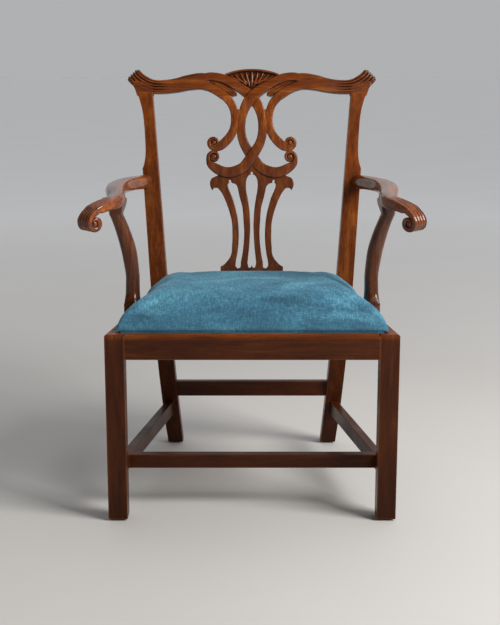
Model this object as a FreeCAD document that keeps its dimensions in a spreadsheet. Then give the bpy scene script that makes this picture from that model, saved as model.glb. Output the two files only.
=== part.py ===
import FreeCAD, Part
import math
import os
import re
from FreeCAD import Placement, Rotation, Vector

# Wooden open armchair with a pierced splat, scrolled arms and a drop-in seat.
# Frame: millimetres, +Z up, the sitter faces -Y, +X is the right side seen from the front.
# The origin is on the floor, under the middle of the whole chair.
# "Depth" means the distance behind the front face of the front legs.
# The back is drawn flat, on a plane that leans backwards from the seat; "rise" is measured up it.

SIZES = {
    # overall
    "front_width": 620, "rear_width": 496, "seat_depth": 455,
    "seat_height": 414, "back_rise": 488, "back_lean": 9.5, "back_top_width": 560,
    # legs and posts
    "pad_height": 4, "pad_diameter": 24,
    "leg_width": 41, "post_seat_width": 41, "post_top_width": 37, "post_seat_depth": 40,
    "post_top_depth": 24, "foot_width": 38, "foot_depth": 36, "foot_spread": 432, "foot_sweep": 77,
    # seat rails
    "rail_height": 55, "front_lip": 15, "side_lip": 27, "ledge": 11, "rebate_depth": 20,
    "rear_rail_depth": 30, "edge_round": 6,
    # stretchers
    "side_stretcher_height": 34, "side_stretcher_width": 20, "side_stretcher_rise": 91,
    "cross_stretcher_height": 31, "cross_stretcher_width": 22, "cross_stretcher_setback": 75,
    "rear_stretcher_height": 38, "rear_stretcher_width": 20, "rear_stretcher_rise": 139,
    # joinery
    "tenon_length": 22, "tenon_thickness": 9, "tenon_shoulder": 7, "joint_clearance": 0.1,
    # back
    "crest_thickness": 22, "splat_thickness": 11, "crest_joint_drop": 6,
    "splat_foot_half": 77, "shoe_height": 44, "shoe_overhang": 23,
    # arms
    "arm_rise": 288, "arm_width": 24, "arm_height": 33, "elbow_overhang": 70.5,
    "scroll_radius": 18, "scroll_length": 44, "scroll_angle": 50,
    # arm supports
    "support_depth_centre": 203, "support_block_depth": 50, "support_block_height": 42,
    "support_width": 29, "support_lap": 13, "support_lap_drop": 42,
    # drop-in seat
    "seat_clearance": 1.5, "seat_frame_width": 52, "seat_frame_height": 18,
    "webbing_width": 50, "webbing_thickness": 1.2, "hessian_thickness": 0.8,
    "crown_height": 72, "cover_thickness": 1.2, "hem_width": 22, "soft_clearance": 0.3,
    # fixings
    "screw_diameter": 4.5, "screw_head": 9, "plug_diameter": 11,
    "tack_head": 7, "tack_shank": 1.6, "tack_length": 9, "tack_pitch": 38,
    # corner pieces
    "brace_reach": 70, "brace_width": 22, "brace_height": 24, "block_reach": 48,
}

doc = FreeCAD.newDocument("armchair")
sheet = doc.addObject("Spreadsheet::Sheet", "sizes")
for row, (alias, number) in enumerate(SIZES.items(), start=1):
    sheet.set(f"A{row}", alias)
    sheet.set(f"B{row}", str(number))
    sheet.setAlias(f"B{row}", alias)
doc.recompute()

nodes = []
SIDES = (("left", -1), ("right", 1))
SECTION_ROUNDING = 0.36


def size(alias):
    return float(sheet.get(alias))


def bind(target, path, text):
    """Ties a property to the sheet; the text names aliases and uses plain arithmetic."""
    target.setExpression(path, re.sub(
        r"[a-z_]+", lambda word: "sizes." + word.group() if word.group() in SIZES else word.group(), text))


def place(target, x="0", y="0", z="0"):
    for axis, text in zip("xyz", (x, y, z)):
        bind(target, f"Placement.Base.{axis}", text)


def keep(target, name):
    target.Label = name
    nodes.append(target)
    return target


# ---------------------------------------------------------------- values shared by the pieces

HALF_FRONT = size("front_width") / 2
HALF_REAR = size("rear_width") / 2
SEAT_DEPTH = size("seat_depth")
SEAT_TOP = size("seat_height")
RAIL_BOTTOM = SEAT_TOP - size("rail_height")
LEDGE_TOP = SEAT_TOP - size("rebate_depth")
LEG = size("leg_width")
LEAN = math.radians(size("back_lean"))
SIDE_ANGLE = math.atan2(HALF_FRONT - HALF_REAR, SEAT_DEPTH)
GAP = size("joint_clearance")
SWEEP = size("foot_sweep")
FRONT = -(SEAT_DEPTH + SWEEP + size("foot_depth")) / 2
TENON = size("tenon_length")
BACK_RISE = size("back_rise")
PAD = size("pad_height")


def across(depth):
    """Half width of the seat frame's outer face at a depth."""
    return HALF_FRONT - (HALF_FRONT - HALF_REAR) * depth / SEAT_DEPTH


def inside(depth, inset):
    """Half width of a line parallel to the side rail's outer face, inset from it."""
    return across(depth) - inset / math.cos(SIDE_ANGLE)


OUTWARD = Vector(math.cos(SIDE_ANGLE), math.sin(SIDE_ANGLE), 0)
ALONG = Vector(-math.sin(SIDE_ANGLE), math.cos(SIDE_ANGLE), 0)


def side_spot(depth, inset, z):
    """A point set square in from the side rail's outer face."""
    return Vector(across(depth), FRONT + depth, z) - OUTWARD * inset


def lean_y(rise, behind=0.0):
    return FRONT + SEAT_DEPTH + rise * math.sin(LEAN) + behind * math.cos(LEAN)


def lean_z(rise, behind=0.0):
    return SEAT_TOP + rise * math.cos(LEAN) - behind * math.sin(LEAN)


# ---------------------------------------------------------------- building helpers

def box(name, length, width, height, x, y, z):
    piece = doc.addObject("Part::Box", name)
    for path, text in zip(("Length", "Width", "Height"), (length, width, height)):
        bind(piece, path, text)
    place(piece, x, y, z)
    return piece


def turned_box(name, spans, spot, turn):
    """A box of given length, width and height, centred on spot and then turned."""
    piece = doc.addObject("Part::Box", name)
    piece.Length, piece.Width, piece.Height = spans
    shift = turn.multVec(Vector(*spans) * 0.5)
    piece.Placement = Placement(Vector(*spot) - shift, turn)
    return piece


def cylinder(name, radius, height, start, direction):
    piece = doc.addObject("Part::Cylinder", name)
    bind(piece, "Radius", radius)
    bind(piece, "Height", height)
    piece.Placement = Placement(Vector(*start), Rotation(Vector(0, 0, 1), Vector(*direction)))
    return piece


def joined(name, pieces):
    piece = doc.addObject("Part::MultiFuse", name)
    piece.Shapes = pieces
    return piece


def cut(name, base, tools):
    piece = doc.addObject("Part::Cut", name)
    piece.Base = base
    piece.Tool = tools[0] if len(tools) == 1 else joined(name + "_tools", tools)
    return piece


def shared(name, pieces):
    piece = doc.addObject("Part::MultiCommon", name)
    piece.Shapes = pieces
    return piece


def mirror(source, name):
    piece = doc.addObject("Part::Mirroring", name)
    piece.Source = source
    piece.Normal = Vector(1, 0, 0)
    return piece


def pair(source, name):
    """Keeps a right-hand piece and its mirrored left-hand twin."""
    keep(source, name + "_right")
    keep(mirror(source, name + "_left_piece"), name + "_left")


def outline(runs):
    """Sketch geometry for a closed outline: a run of two points is a line, a longer one a curve."""
    edges = []
    for run in runs:
        points = [Vector(a, b, 0) for a, b in run]
        if len(points) == 2:
            edges.append(Part.LineSegment(*points))
        else:
            curve = Part.BSplineCurve()
            curve.interpolate(points)
            edges.append(curve)
    return edges


def polygon(corners):
    return [[corners[i - 1], corners[i]] for i in range(len(corners))]


def prism(name, plane, outlines, thickness, placement=Placement(), reverse=False):
    """A body padded from closed outlines on one of its origin planes."""
    body = doc.addObject("PartDesign::Body", name)
    sketch = body.newObject("Sketcher::SketchObject", name + "_sketch")
    support = [f for f in body.Origin.OriginFeatures if f.Role == plane][0]
    sketch.AttachmentSupport = [(support, "")]
    sketch.MapMode = "FlatFace"
    for runs in outlines:
        sketch.addGeometry(outline(runs), False)
    extrusion = body.newObject("PartDesign::Pad", name + "_pad")
    extrusion.Profile = sketch
    bind(extrusion, "Length", thickness)
    extrusion.Reversed = reverse
    body.Placement = placement
    return body


def mirrored_runs(runs):
    """Closes a right-hand half outline, drawn from the middle line back to it, with its mirror."""
    return runs + [[(-a, b) for a, b in reversed(run)] for run in reversed(runs)]


def rounded(name, base, radius, wanted):
    """Fillets the edges of a base whose middle point is wanted."""
    doc.recompute()
    piece = doc.addObject("Part::Fillet", name)
    piece.Base = base
    picked = []
    for number, edge in enumerate(base.Shape.Edges, start=1):
        if wanted(edge.CenterOfMass, edge):
            picked.append((number, size(radius), size(radius)))
    piece.Edges = picked
    return piece


def socket(name, spans, spot, turn):
    """The mortise for a tenon: the same block, larger by the joint clearance all round."""
    return turned_box(name, [span + 2 * GAP for span in spans], spot, turn)


TURN_NONE = Rotation()
TURN_SIDE = Rotation(Vector(0, 0, 1), math.degrees(SIDE_ANGLE))
TURN_BACK = Rotation(Vector(1, 0, 0), -size("back_lean"))


# ---------------------------------------------------------------- back posts (rear leg and stile)

SWEEP_POWER = 1.7


def leg_front(z):
    """Depth of the rear leg's front face."""
    return SEAT_DEPTH + SWEEP * (1 - min((z - PAD) / (RAIL_BOTTOM - PAD), 1)) ** SWEEP_POWER


def leg_back(z):
    foot, seat = size("foot_depth"), size("post_seat_depth")
    return leg_front(z) + foot + (seat - foot) * (z - PAD) / (RAIL_BOTTOM - PAD)


def post_outer(rise):
    top, seat = size("back_top_width") / 2, HALF_REAR
    return seat + (top - seat) * rise / BACK_RISE


def post_inner(rise):
    seat = HALF_REAR - size("post_seat_width")
    top = size("back_top_width") / 2 - size("post_top_width")
    return seat + (top - seat) * rise / BACK_RISE


def foot_outer(z):
    foot = size("foot_spread") / 2
    return foot + (HALF_REAR - foot) * (z / SEAT_TOP) ** 0.86


def foot_inner(z):
    foot = size("foot_spread") / 2 - size("foot_width")
    return foot + (HALF_REAR - size("post_seat_width") - foot) * (z / SEAT_TOP) ** 0.95


ARM_RISE = size("arm_rise")
POST_TOP_BACK = size("post_top_depth")
LEG_SHARES = (0, 0.25, 0.5, 0.75, 1)


def leg_heights(top):
    return [PAD + share * (top - PAD) for share in LEG_SHARES]


def back_post():
    front = [(FRONT + leg_front(z), z) for z in leg_heights(RAIL_BOTTOM)]
    rear = [(FRONT + leg_back(z), z) for z in leg_heights(RAIL_BOTTOM)]
    seat_front = (FRONT + SEAT_DEPTH, SEAT_TOP)
    top_front = (lean_y(BACK_RISE), lean_z(BACK_RISE))
    top_rear = (lean_y(BACK_RISE, POST_TOP_BACK), lean_z(BACK_RISE, POST_TOP_BACK))
    middle_depth = (size("post_seat_depth") + POST_TOP_BACK) / 2
    middle_rear = (lean_y(BACK_RISE / 2, middle_depth), lean_z(BACK_RISE / 2, middle_depth))
    side = prism("post_side", "YZ_Plane", [[
        front, [front[-1], seat_front], [seat_front, top_front], [top_front, top_rear],
        [top_rear, middle_rear] + rear[::-1], [rear[0], front[0]]]],
        "front_width", Placement(Vector(0, 0, 0), Rotation()))

    waist = size("post_top_width") * 0.31
    above = ARM_RISE + size("arm_height") / 2
    gap_rise = BACK_RISE - above
    shoulder = [(post_outer(above), above)]
    for share, dip in ((0.12, 0.65), (0.3, 0.95), (0.55, 1), (0.8, 0.75), (0.93, 0.3), (1, 0)):
        rise = above + share * gap_rise
        shoulder.append((post_outer(rise) - dip * waist, rise))

    def upright(points):
        return [(x, lean_z(rise)) for x, rise in points]

    outer_leg = [(foot_outer(z), z) for z in leg_heights(SEAT_TOP)]
    inner_leg = [(foot_inner(z), z) for z in leg_heights(SEAT_TOP)]
    outer_back = upright([(post_outer(0), 0), (post_outer(above), above)])
    inner_back = upright([(post_inner(0), 0), (post_inner(BACK_RISE), BACK_RISE)])
    shaped = upright(shoulder)
    face = prism("post_face", "XZ_Plane", [[
        outer_leg, outer_back, shaped, [shaped[-1], inner_back[1]],
        inner_back[::-1], inner_leg[::-1], [inner_leg[0], outer_leg[0]]]],
        "seat_depth * 3", Placement(Vector(0, -SEAT_DEPTH, 0), Rotation()), reverse=True)
    return shared("post_blank", [side, face])


post_blank = back_post()
POST_TENON = (14, size("tenon_thickness"), TENON)
POST_TOP_X = (post_outer(BACK_RISE) + post_inner(BACK_RISE)) / 2


def on_back(x, rise, behind):
    return (x, lean_y(rise, behind), lean_z(rise, behind))


CREST_MIDDLE = size("crest_thickness") / 2
post_tenon_spot = on_back(POST_TOP_X, BACK_RISE + TENON / 2, CREST_MIDDLE)
post_tenon = turned_box("post_tenon", (POST_TENON[0], POST_TENON[1], TENON + 4),
                        on_back(POST_TOP_X, BACK_RISE + TENON / 2 - 2, CREST_MIDDLE), TURN_BACK)

# tenons that meet at the rear posts and the front legs
RAIL_TENON = (TENON * 2, size("tenon_thickness"), size("rail_height") - 2 * size("tenon_shoulder") - 12)
RAIL_TENON_Z = RAIL_BOTTOM + size("tenon_shoulder") + RAIL_TENON[2] / 2
SIDE_TENON_INSET = size("side_lip") / 2


side_tenon_spans = (size("tenon_thickness"), TENON * 2, RAIL_TENON[2])
side_front_spot = side_spot(LEG, SIDE_TENON_INSET, RAIL_TENON_Z)
side_rear_spot = side_spot(SEAT_DEPTH, SIDE_TENON_INSET, RAIL_TENON_Z)

STRETCHER_Z = size("side_stretcher_rise") + size("side_stretcher_height") / 2
STRETCHER_TENON = (size("tenon_thickness"), TENON * 2, size("side_stretcher_height") - 10)
stretcher_front = Vector(HALF_FRONT - LEG / 2 - 2, FRONT + LEG, STRETCHER_Z)
stretcher_rear = Vector((foot_outer(STRETCHER_Z) + foot_inner(STRETCHER_Z)) / 2,
                        FRONT + leg_front(STRETCHER_Z), STRETCHER_Z)
STRETCHER_RUN = stretcher_rear - stretcher_front
TURN_STRETCHER = Rotation(Vector(0, 0, 1), math.degrees(math.atan2(-STRETCHER_RUN.x, STRETCHER_RUN.y)))

REAR_RAIL_DEPTH = SEAT_DEPTH + size("rear_rail_depth") / 2
rear_rail_spot = (foot_inner(SEAT_TOP), FRONT + REAR_RAIL_DEPTH + 6, RAIL_TENON_Z)
rear_tenon_spans = (TENON * 1.4, size("tenon_thickness"), RAIL_TENON[2])

REAR_STRETCHER_Z = size("rear_stretcher_rise") + size("rear_stretcher_height") / 2
REAR_STRETCHER_DEPTH = (leg_front(REAR_STRETCHER_Z) + leg_back(REAR_STRETCHER_Z)) / 2
rear_stretcher_spot = (foot_inner(REAR_STRETCHER_Z), FRONT + REAR_STRETCHER_DEPTH, REAR_STRETCHER_Z)
rear_stretcher_spans = (TENON * 2, size("tenon_thickness"), size("rear_stretcher_height") - 10)

# the arm's screw runs forwards from the back of the post, level with the middle of the arm's end
ARM_END_X = post_outer(ARM_RISE) + 3 - size("arm_width") / 2
ARM_END_Z = lean_z(ARM_RISE) - size("arm_height") / 2 + 1
ARM_RISE_MIDDLE = (ARM_END_Z - SEAT_TOP) / math.cos(LEAN)
ARM_END_Y = lean_y(ARM_RISE_MIDDLE)
POST_DEPTH_AT_ARM = (size("post_seat_depth") + (POST_TOP_BACK - size("post_seat_depth"))
                     * ARM_RISE_MIDDLE / BACK_RISE) / math.cos(LEAN)
SCREW_SEAT = 12
SCREW_X = ARM_END_X - 4
screw_head_y = ARM_END_Y + POST_DEPTH_AT_ARM - SCREW_SEAT
forward = (0, -1, 0)
SCREW_HEAD_DEEP = 2.5
plug_hole = cylinder("plug_hole", "plug_diameter / 2 + joint_clearance", f"30 + {SCREW_HEAD_DEEP}",
                     (SCREW_X, screw_head_y + 30, ARM_END_Z), forward)
arm_screw_hole = cylinder("arm_screw_hole", "screw_diameter / 2 + joint_clearance", "60",
                          (SCREW_X, screw_head_y + 1, ARM_END_Z), forward)

post = cut("post_cut", joined("post_with_tenon", [post_blank, post_tenon]), [
    socket("post_side_mortise", side_tenon_spans, side_rear_spot, TURN_SIDE),
    socket("post_stretcher_mortise", STRETCHER_TENON, stretcher_rear, TURN_STRETCHER),
    socket("post_rear_mortise", rear_tenon_spans, rear_rail_spot, TURN_NONE),
    socket("post_low_mortise", rear_stretcher_spans, rear_stretcher_spot, TURN_NONE),
    plug_hole, arm_screw_hole])
pair(post, "back_post")

# ---------------------------------------------------------------- front legs

seat_front = size("front_lip")
leg_blank = prism("leg_blank", "XY_Plane", [polygon([
    (HALF_FRONT, FRONT), (across(LEG), FRONT + LEG),
    (HALF_FRONT - LEG, FRONT + LEG), (HALF_FRONT - LEG, FRONT)])],
    "seat_height - pad_height", Placement(Vector(0, 0, PAD), Rotation()))
leg_round = rounded("leg_round", leg_blank, "edge_round", lambda c, e:
                    c.z > SEAT_TOP - 1 and c.x > HALF_FRONT - LEG / 4)


def seat_well(name):
    """The space that the drop-in seat's frame fills, open upwards."""
    return prism(name, "XY_Plane", [polygon([
        (inside(seat_front, size("side_lip")), FRONT + seat_front),
        (inside(SEAT_DEPTH, size("side_lip")), FRONT + SEAT_DEPTH),
        (-inside(SEAT_DEPTH, size("side_lip")), FRONT + SEAT_DEPTH),
        (-inside(seat_front, size("side_lip")), FRONT + seat_front)])],
        "seat_height", Placement(Vector(0, 0, LEDGE_TOP), Rotation()))


front_rail_spot = (HALF_FRONT - LEG, FRONT + size("front_lip") / 2 + 5, RAIL_TENON_Z)
front_tenon_spans = (TENON, size("tenon_thickness"), RAIL_TENON[2])
leg_piece = cut("leg_cut", leg_round, [
    seat_well("leg_well"),
    socket("leg_rail_mortise", front_tenon_spans, front_rail_spot, TURN_NONE),
    socket("leg_side_mortise", side_tenon_spans, side_front_spot, TURN_SIDE),
    socket("leg_stretcher_mortise", STRETCHER_TENON, stretcher_front, TURN_STRETCHER)])
pair(leg_piece, "front_leg")

# ---------------------------------------------------------------- seat rails

rail_blank = box("front_rail_blank", "front_width - 2 * leg_width", "front_lip + ledge", "rail_height",
                 "leg_width - front_width / 2", str(FRONT), "seat_height - rail_height")
front_tenons = [turned_box(f"front_rail_tenon_{side}", front_tenon_spans,
                           (sign * front_rail_spot[0], front_rail_spot[1], front_rail_spot[2]), TURN_NONE)
                for side, sign in SIDES]
front_rail = cut("front_rail_cut", joined("front_rail_body", [rail_blank] + front_tenons),
                 [seat_well("front_rail_well")])
keep(front_rail, "front_seat_rail")

SIDE_RAIL_WIDTH = size("side_lip") + size("ledge")
side_blank = prism("side_rail_blank", "XY_Plane", [polygon([
    (across(LEG), FRONT + LEG), (across(SEAT_DEPTH), FRONT + SEAT_DEPTH),
    (inside(SEAT_DEPTH, SIDE_RAIL_WIDTH), FRONT + SEAT_DEPTH),
    (inside(LEG, SIDE_RAIL_WIDTH), FRONT + LEG)])],
    "rail_height", Placement(Vector(0, 0, RAIL_BOTTOM), Rotation()))
side_front_tenon = turned_box("side_front_tenon", side_tenon_spans, side_front_spot, TURN_SIDE)
side_rear_tenon = turned_box("side_rear_tenon", side_tenon_spans, side_rear_spot, TURN_SIDE)

SUPPORT = size("support_depth_centre")
LAP_SPANS = (size("support_lap"), size("support_block_depth"), size("support_lap_drop"))
lap_spot = side_spot(SUPPORT, size("support_lap") / 2, SEAT_TOP - LAP_SPANS[2] / 2)
SUPPORT_SCREW_Z = (LEDGE_TOP + SEAT_TOP - LAP_SPANS[2]) / 2
SUPPORT_SCREW_SPREAD = size("support_block_depth") * 0.24
screw_starts = [side_spot(SUPPORT, SIDE_RAIL_WIDTH, SUPPORT_SCREW_Z) + ALONG * offset
                for offset in (-SUPPORT_SCREW_SPREAD, SUPPORT_SCREW_SPREAD)]


def support_screw_holes(name):
    holes = []
    for number, start in enumerate(screw_starts):
        holes.append(cylinder(f"{name}_{number}", "screw_diameter / 2 + joint_clearance",
                              "side_lip + ledge - 4", start - OUTWARD * 0.01, OUTWARD))
        holes.append(cylinder(f"{name}_sink_{number}", "screw_head / 2 + joint_clearance", "3",
                              start - OUTWARD * 0.01, OUTWARD))
    return holes


side_rail = cut("side_rail_cut", joined("side_rail_body", [side_blank, side_front_tenon, side_rear_tenon]), [
    seat_well("side_rail_well"),
    turned_box("side_rail_lap", (LAP_SPANS[0] * 2, LAP_SPANS[1], LAP_SPANS[2] * 2),
               (across(SUPPORT), FRONT + SUPPORT, SEAT_TOP), TURN_SIDE)]
    + support_screw_holes("side_rail_hole"))
pair(side_rail, "side_seat_rail")

REAR_RAIL_FRONT = SEAT_DEPTH - size("ledge")
rear_blank = prism("rear_rail_blank", "XZ_Plane", [polygon([
    (foot_inner(RAIL_BOTTOM), RAIL_BOTTOM), (foot_inner(SEAT_TOP), SEAT_TOP),
    (-foot_inner(SEAT_TOP), SEAT_TOP), (-foot_inner(RAIL_BOTTOM), RAIL_BOTTOM)])],
    "rear_rail_depth + ledge", Placement(Vector(0, FRONT + REAR_RAIL_FRONT, 0), Rotation()), reverse=True)
rear_tenons = [turned_box(f"rear_rail_tenon_{side}", rear_tenon_spans,
                          (sign * rear_rail_spot[0], rear_rail_spot[1], rear_rail_spot[2]), TURN_NONE)
               for side, sign in SIDES]
rear_rail = cut("rear_rail_cut", joined("rear_rail_body", [rear_blank] + rear_tenons),
                [seat_well("rear_rail_well"), side_blank, mirror(side_blank, "side_rail_blank_left")])
keep(rear_rail, "rear_seat_rail")

# ---------------------------------------------------------------- stretchers

side_stretcher_blank = prism("side_stretcher_blank", "XY_Plane", [polygon([
    (stretcher_front.x + half, stretcher_front.y) for half in
    (size("side_stretcher_width") / 2, -size("side_stretcher_width") / 2)] + [
    (stretcher_rear.x + half, stretcher_rear.y + 12) for half in
    (-size("side_stretcher_width") / 2, size("side_stretcher_width") / 2)])],
    "side_stretcher_height", Placement(Vector(0, 0, size("side_stretcher_rise")), Rotation()))
side_stretcher_shoulder = cut("side_stretcher_shoulder", side_stretcher_blank, [post_blank])
CROSS_Z = size("side_stretcher_rise") + size("side_stretcher_height") - size("cross_stretcher_height") / 2
CROSS_DEPTH = size("cross_stretcher_setback") + size("cross_stretcher_width") / 2


def stretcher_x(depth):
    share = (FRONT + depth - stretcher_front.y) / STRETCHER_RUN.y
    return stretcher_front.x + STRETCHER_RUN.x * share


cross_tenon_spans = (TENON * 0.9, size("tenon_thickness"), size("cross_stretcher_height") - 10)
cross_face_x = stretcher_x(CROSS_DEPTH) - size("side_stretcher_width") / 2
cross_spot = (cross_face_x, FRONT + CROSS_DEPTH, CROSS_Z)
side_stretcher = cut("side_stretcher_cut", joined("side_stretcher_body", [
    side_stretcher_shoulder,
    turned_box("side_stretcher_tenon_front", STRETCHER_TENON, stretcher_front, TURN_STRETCHER),
    turned_box("side_stretcher_tenon_rear", STRETCHER_TENON, stretcher_rear, TURN_STRETCHER)]),
    [socket("side_stretcher_mortise", cross_tenon_spans, cross_spot, TURN_NONE)])
pair(side_stretcher, "side_stretcher")


def stretcher_face(depth):
    return stretcher_x(depth) - size("side_stretcher_width") / 2


cross_front, cross_back = (size("cross_stretcher_setback"),
                           size("cross_stretcher_setback") + size("cross_stretcher_width"))
cross_blank = prism("cross_blank", "XY_Plane", [polygon([
    (stretcher_face(cross_front), FRONT + cross_front), (stretcher_face(cross_back), FRONT + cross_back),
    (-stretcher_face(cross_back), FRONT + cross_back), (-stretcher_face(cross_front), FRONT + cross_front)])],
    "cross_stretcher_height",
    Placement(Vector(0, 0, CROSS_Z - size("cross_stretcher_height") / 2), Rotation()))
keep(joined("cross_body", [cross_blank] + [
    turned_box(f"cross_tenon_{side}", cross_tenon_spans,
               (sign * cross_spot[0], cross_spot[1], cross_spot[2]), TURN_NONE)
    for side, sign in SIDES]), "cross_stretcher")

low, high = size("rear_stretcher_rise"), size("rear_stretcher_rise") + size("rear_stretcher_height")
rear_stretcher_blank = prism("rear_stretcher_blank", "XZ_Plane", [polygon([
    (foot_inner(low) + 4, low), (foot_inner(high) + 4, high),
    (-foot_inner(high) - 4, high), (-foot_inner(low) - 4, low)])],
    "rear_stretcher_width",
    Placement(Vector(0, FRONT + REAR_STRETCHER_DEPTH - size("rear_stretcher_width") / 2, 0), Rotation()),
    reverse=True)
rear_stretcher_shoulders = cut("rear_stretcher_shoulders", rear_stretcher_blank,
                               [post_blank, mirror(post_blank, "post_blank_left")])
keep(joined("rear_stretcher_body", [rear_stretcher_shoulders] + [
    turned_box(f"rear_stretcher_tenon_{side}", rear_stretcher_spans,
               (sign * rear_stretcher_spot[0], rear_stretcher_spot[1], rear_stretcher_spot[2]), TURN_NONE)
    for side, sign in SIDES]), "rear_stretcher")

# ---------------------------------------------------------------- crest rail

EAR = size("back_top_width") / 2
LUNETTE = 67.0


def swell(share):
    """A point across the crest, from the carved centre (0) to where the ear begins (1)."""
    return LUNETTE + share * (EAR - 44 - LUNETTE)


JOINT = BACK_RISE - size("crest_joint_drop")
crest_top = [[(0, JOINT + 65), (22, JOINT + 64), (45, JOINT + 60), (LUNETTE, JOINT + 53)],
             [(LUNETTE, JOINT + 53)] + [(swell(share), JOINT + rise) for share, rise in (
                 (0.13, 56.5), (0.27, 56.5), (0.42, 54), (0.56, 49), (0.7, 43), (0.85, 38.5), (1, 38))]
             + [(EAR - 22, JOINT + 46), (EAR - 12, JOINT + 58)],
             [(EAR - 12, JOINT + 58), (EAR - 6, JOINT + 64)],
             [(EAR - 6, JOINT + 64), (EAR + 7, JOINT + 57), (EAR + 15, JOINT + 49), (EAR + 25, JOINT + 41)]]
POST_TOP = BACK_RISE


def arch(share):
    """A point under the crest, from the outer strap (0) to the post (1)."""
    return 105 + share * (post_inner(POST_TOP) - 105)


crest_bottom = [[(EAR + 25, JOINT + 41), (EAR + 14, JOINT + 29), (EAR + 4, JOINT + 17), (EAR, POST_TOP)],
                [(EAR, POST_TOP), (post_inner(POST_TOP), POST_TOP)],
                [(post_inner(POST_TOP), POST_TOP)]
                + [(arch(share), JOINT + rise) for share, rise in (
                    (0.88, 5), (0.73, 6), (0.51, 10), (0.3, 15), (0.14, 16), (0, 11))] + [(88, JOINT)],
                [(88, JOINT), (48.5, JOINT)], [(48.5, JOINT), (47, JOINT + 1), (36, JOINT + 8), (20, JOINT)],
                [(20, JOINT), (0, JOINT)]]
BACK_PLACE = Placement(Vector(0, FRONT + SEAT_DEPTH, SEAT_TOP), TURN_BACK)
crest_blank = prism("crest_blank", "XZ_Plane",
                    [[run for run in crest_top + crest_bottom]
                     + [[(-a, b) for a, b in reversed(run)] for run in reversed(crest_top + crest_bottom)]],
                    "crest_thickness", BACK_PLACE, reverse=True)
SPLAT_MIDDLE = size("splat_thickness") / 2
splat_tenon_spans = (26, size("splat_thickness") - 4, 16)
splat_tenon_spots = [on_back(0, JOINT + 2, SPLAT_MIDDLE)] + [
    on_back(sign * 68, JOINT + 2, SPLAT_MIDDLE) for _, sign in SIDES]
crest = cut("crest_cut", crest_blank, [
    socket(f"crest_post_mortise_{side}", (POST_TENON[0], POST_TENON[1], TENON),
           (sign * post_tenon_spot[0], post_tenon_spot[1], post_tenon_spot[2]), TURN_BACK)
    for side, sign in SIDES] + [
    socket(f"crest_splat_mortise_{number}", splat_tenon_spans, spot, TURN_BACK)
    for number, spot in enumerate(splat_tenon_spots)])
keep(crest, "crest_rail")

# ---------------------------------------------------------------- splat and shoe

SHOE_TOP = size("shoe_height")
DRAWN_RISE = 482.0


def drawn(runs):
    """Stretches outlines, drawn for a splat of one height, to this splat's height."""
    return [[(a, b * JOINT / DRAWN_RISE) for a, b in run] for run in runs]


FOOT = size("splat_foot_half")
splat_side = [
    [(0, 482), (20, 482)],
    [(20, 482), (25, 465), (30, 453), (32.5, 446)],
    [(32.5, 446), (36, 454), (41, 468), (48.5, 482)],
    [(48.5, 482), (88, 482)],
    [(88, 482), (69, 469), (57, 452), (51.5, 430), (54, 406), (65, 387), (79.5, 370)],
    [(79.5, 370), (84, 379), (94, 382), (104, 376), (107, 366), (103, 356), (98, 350.5)],
    [(98, 350.5), (106, 345), (111, 332), (110, 316), (101, 300), (88, 288)],
    [(88, 288), (96, 284), (102, 276), (103, 263), (97, 251)],
    [(97, 251), (94, 257), (87, 259), (80, 254)],
    [(80, 254), (69, 235), (60, 213), (51, 180), (48, 145), (49, 110), (55, 85), (65, 71), (FOOT, 64)],
    [(FOOT, 64), (FOOT, 30)],
    [(FOOT, 30), (0, 30)]]
centre_slot = [[(0, 288), (7, 285), (13, 275), (13.5, 258), (9, 225), (5, 190), (4, 155), (6, 120),
                (9, 88), (10, 70), (5, 61), (0, 67)]]
side_slot = [[(53, 278), (57.5, 272), (57, 260), (48, 235), (37, 197), (32.5, 160), (33, 125),
              (36, 94), (40, 67), (36, 59), (31, 62), (26, 78), (21.5, 110), (20, 150), (21, 185),
              (27, 228), (36, 262), (46, 275), (53, 278)]]
lens = [[(0, 458), (11, 441), (16, 415), (13.5, 383), (0, 356)]]
side_window = [
    [(37, 389), (45, 374), (60, 357), (83, 347)],
    [(83, 347), (78.5, 333), (84, 316)],
    [(84, 316), (72, 310), (57, 308), (43, 311), (29, 319), (14, 333)],
    [(14, 333), (25, 352), (33, 370), (37, 389)]]


def flipped(runs):
    return [[(-a, b) for a, b in run] for run in runs]


splat_blank = prism("splat_blank", "XZ_Plane", [
    drawn(runs) for runs in (
        mirrored_runs(splat_side), mirrored_runs(centre_slot), mirrored_runs(lens),
        side_slot, flipped(side_slot), side_window, flipped(side_window))],
    "splat_thickness", BACK_PLACE, reverse=True)
splat = joined("splat_body", [splat_blank] + [
    turned_box(f"splat_tenon_{number}", splat_tenon_spans, spot, TURN_BACK)
    for number, spot in enumerate(splat_tenon_spots)])
keep(splat, "splat")

shoe_front = (SEAT_DEPTH + 1.0, SEAT_DEPTH + size("rear_rail_depth") - 1.0)
splat_depth = SEAT_DEPTH + SHOE_TOP * math.tan(LEAN)
shoe_low, shoe_high = SEAT_TOP, SEAT_TOP + SHOE_TOP
shoe_profile = [
    [(FRONT + shoe_front[0], shoe_low), (FRONT + shoe_front[0], shoe_low + 6)],
    [(FRONT + shoe_front[0], shoe_low + 6), (FRONT + splat_depth - 8, shoe_low + 16),
     (FRONT + splat_depth - 4, shoe_high - 5)],
    [(FRONT + splat_depth - 4, shoe_high - 5), (FRONT + splat_depth - 4, shoe_high)],
    [(FRONT + splat_depth - 4, shoe_high), (FRONT + splat_depth + 16, shoe_high)],
    [(FRONT + splat_depth + 16, shoe_high), (FRONT + shoe_front[1], shoe_low)],
    [(FRONT + shoe_front[1], shoe_low), (FRONT + shoe_front[0], shoe_low)]]
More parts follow.
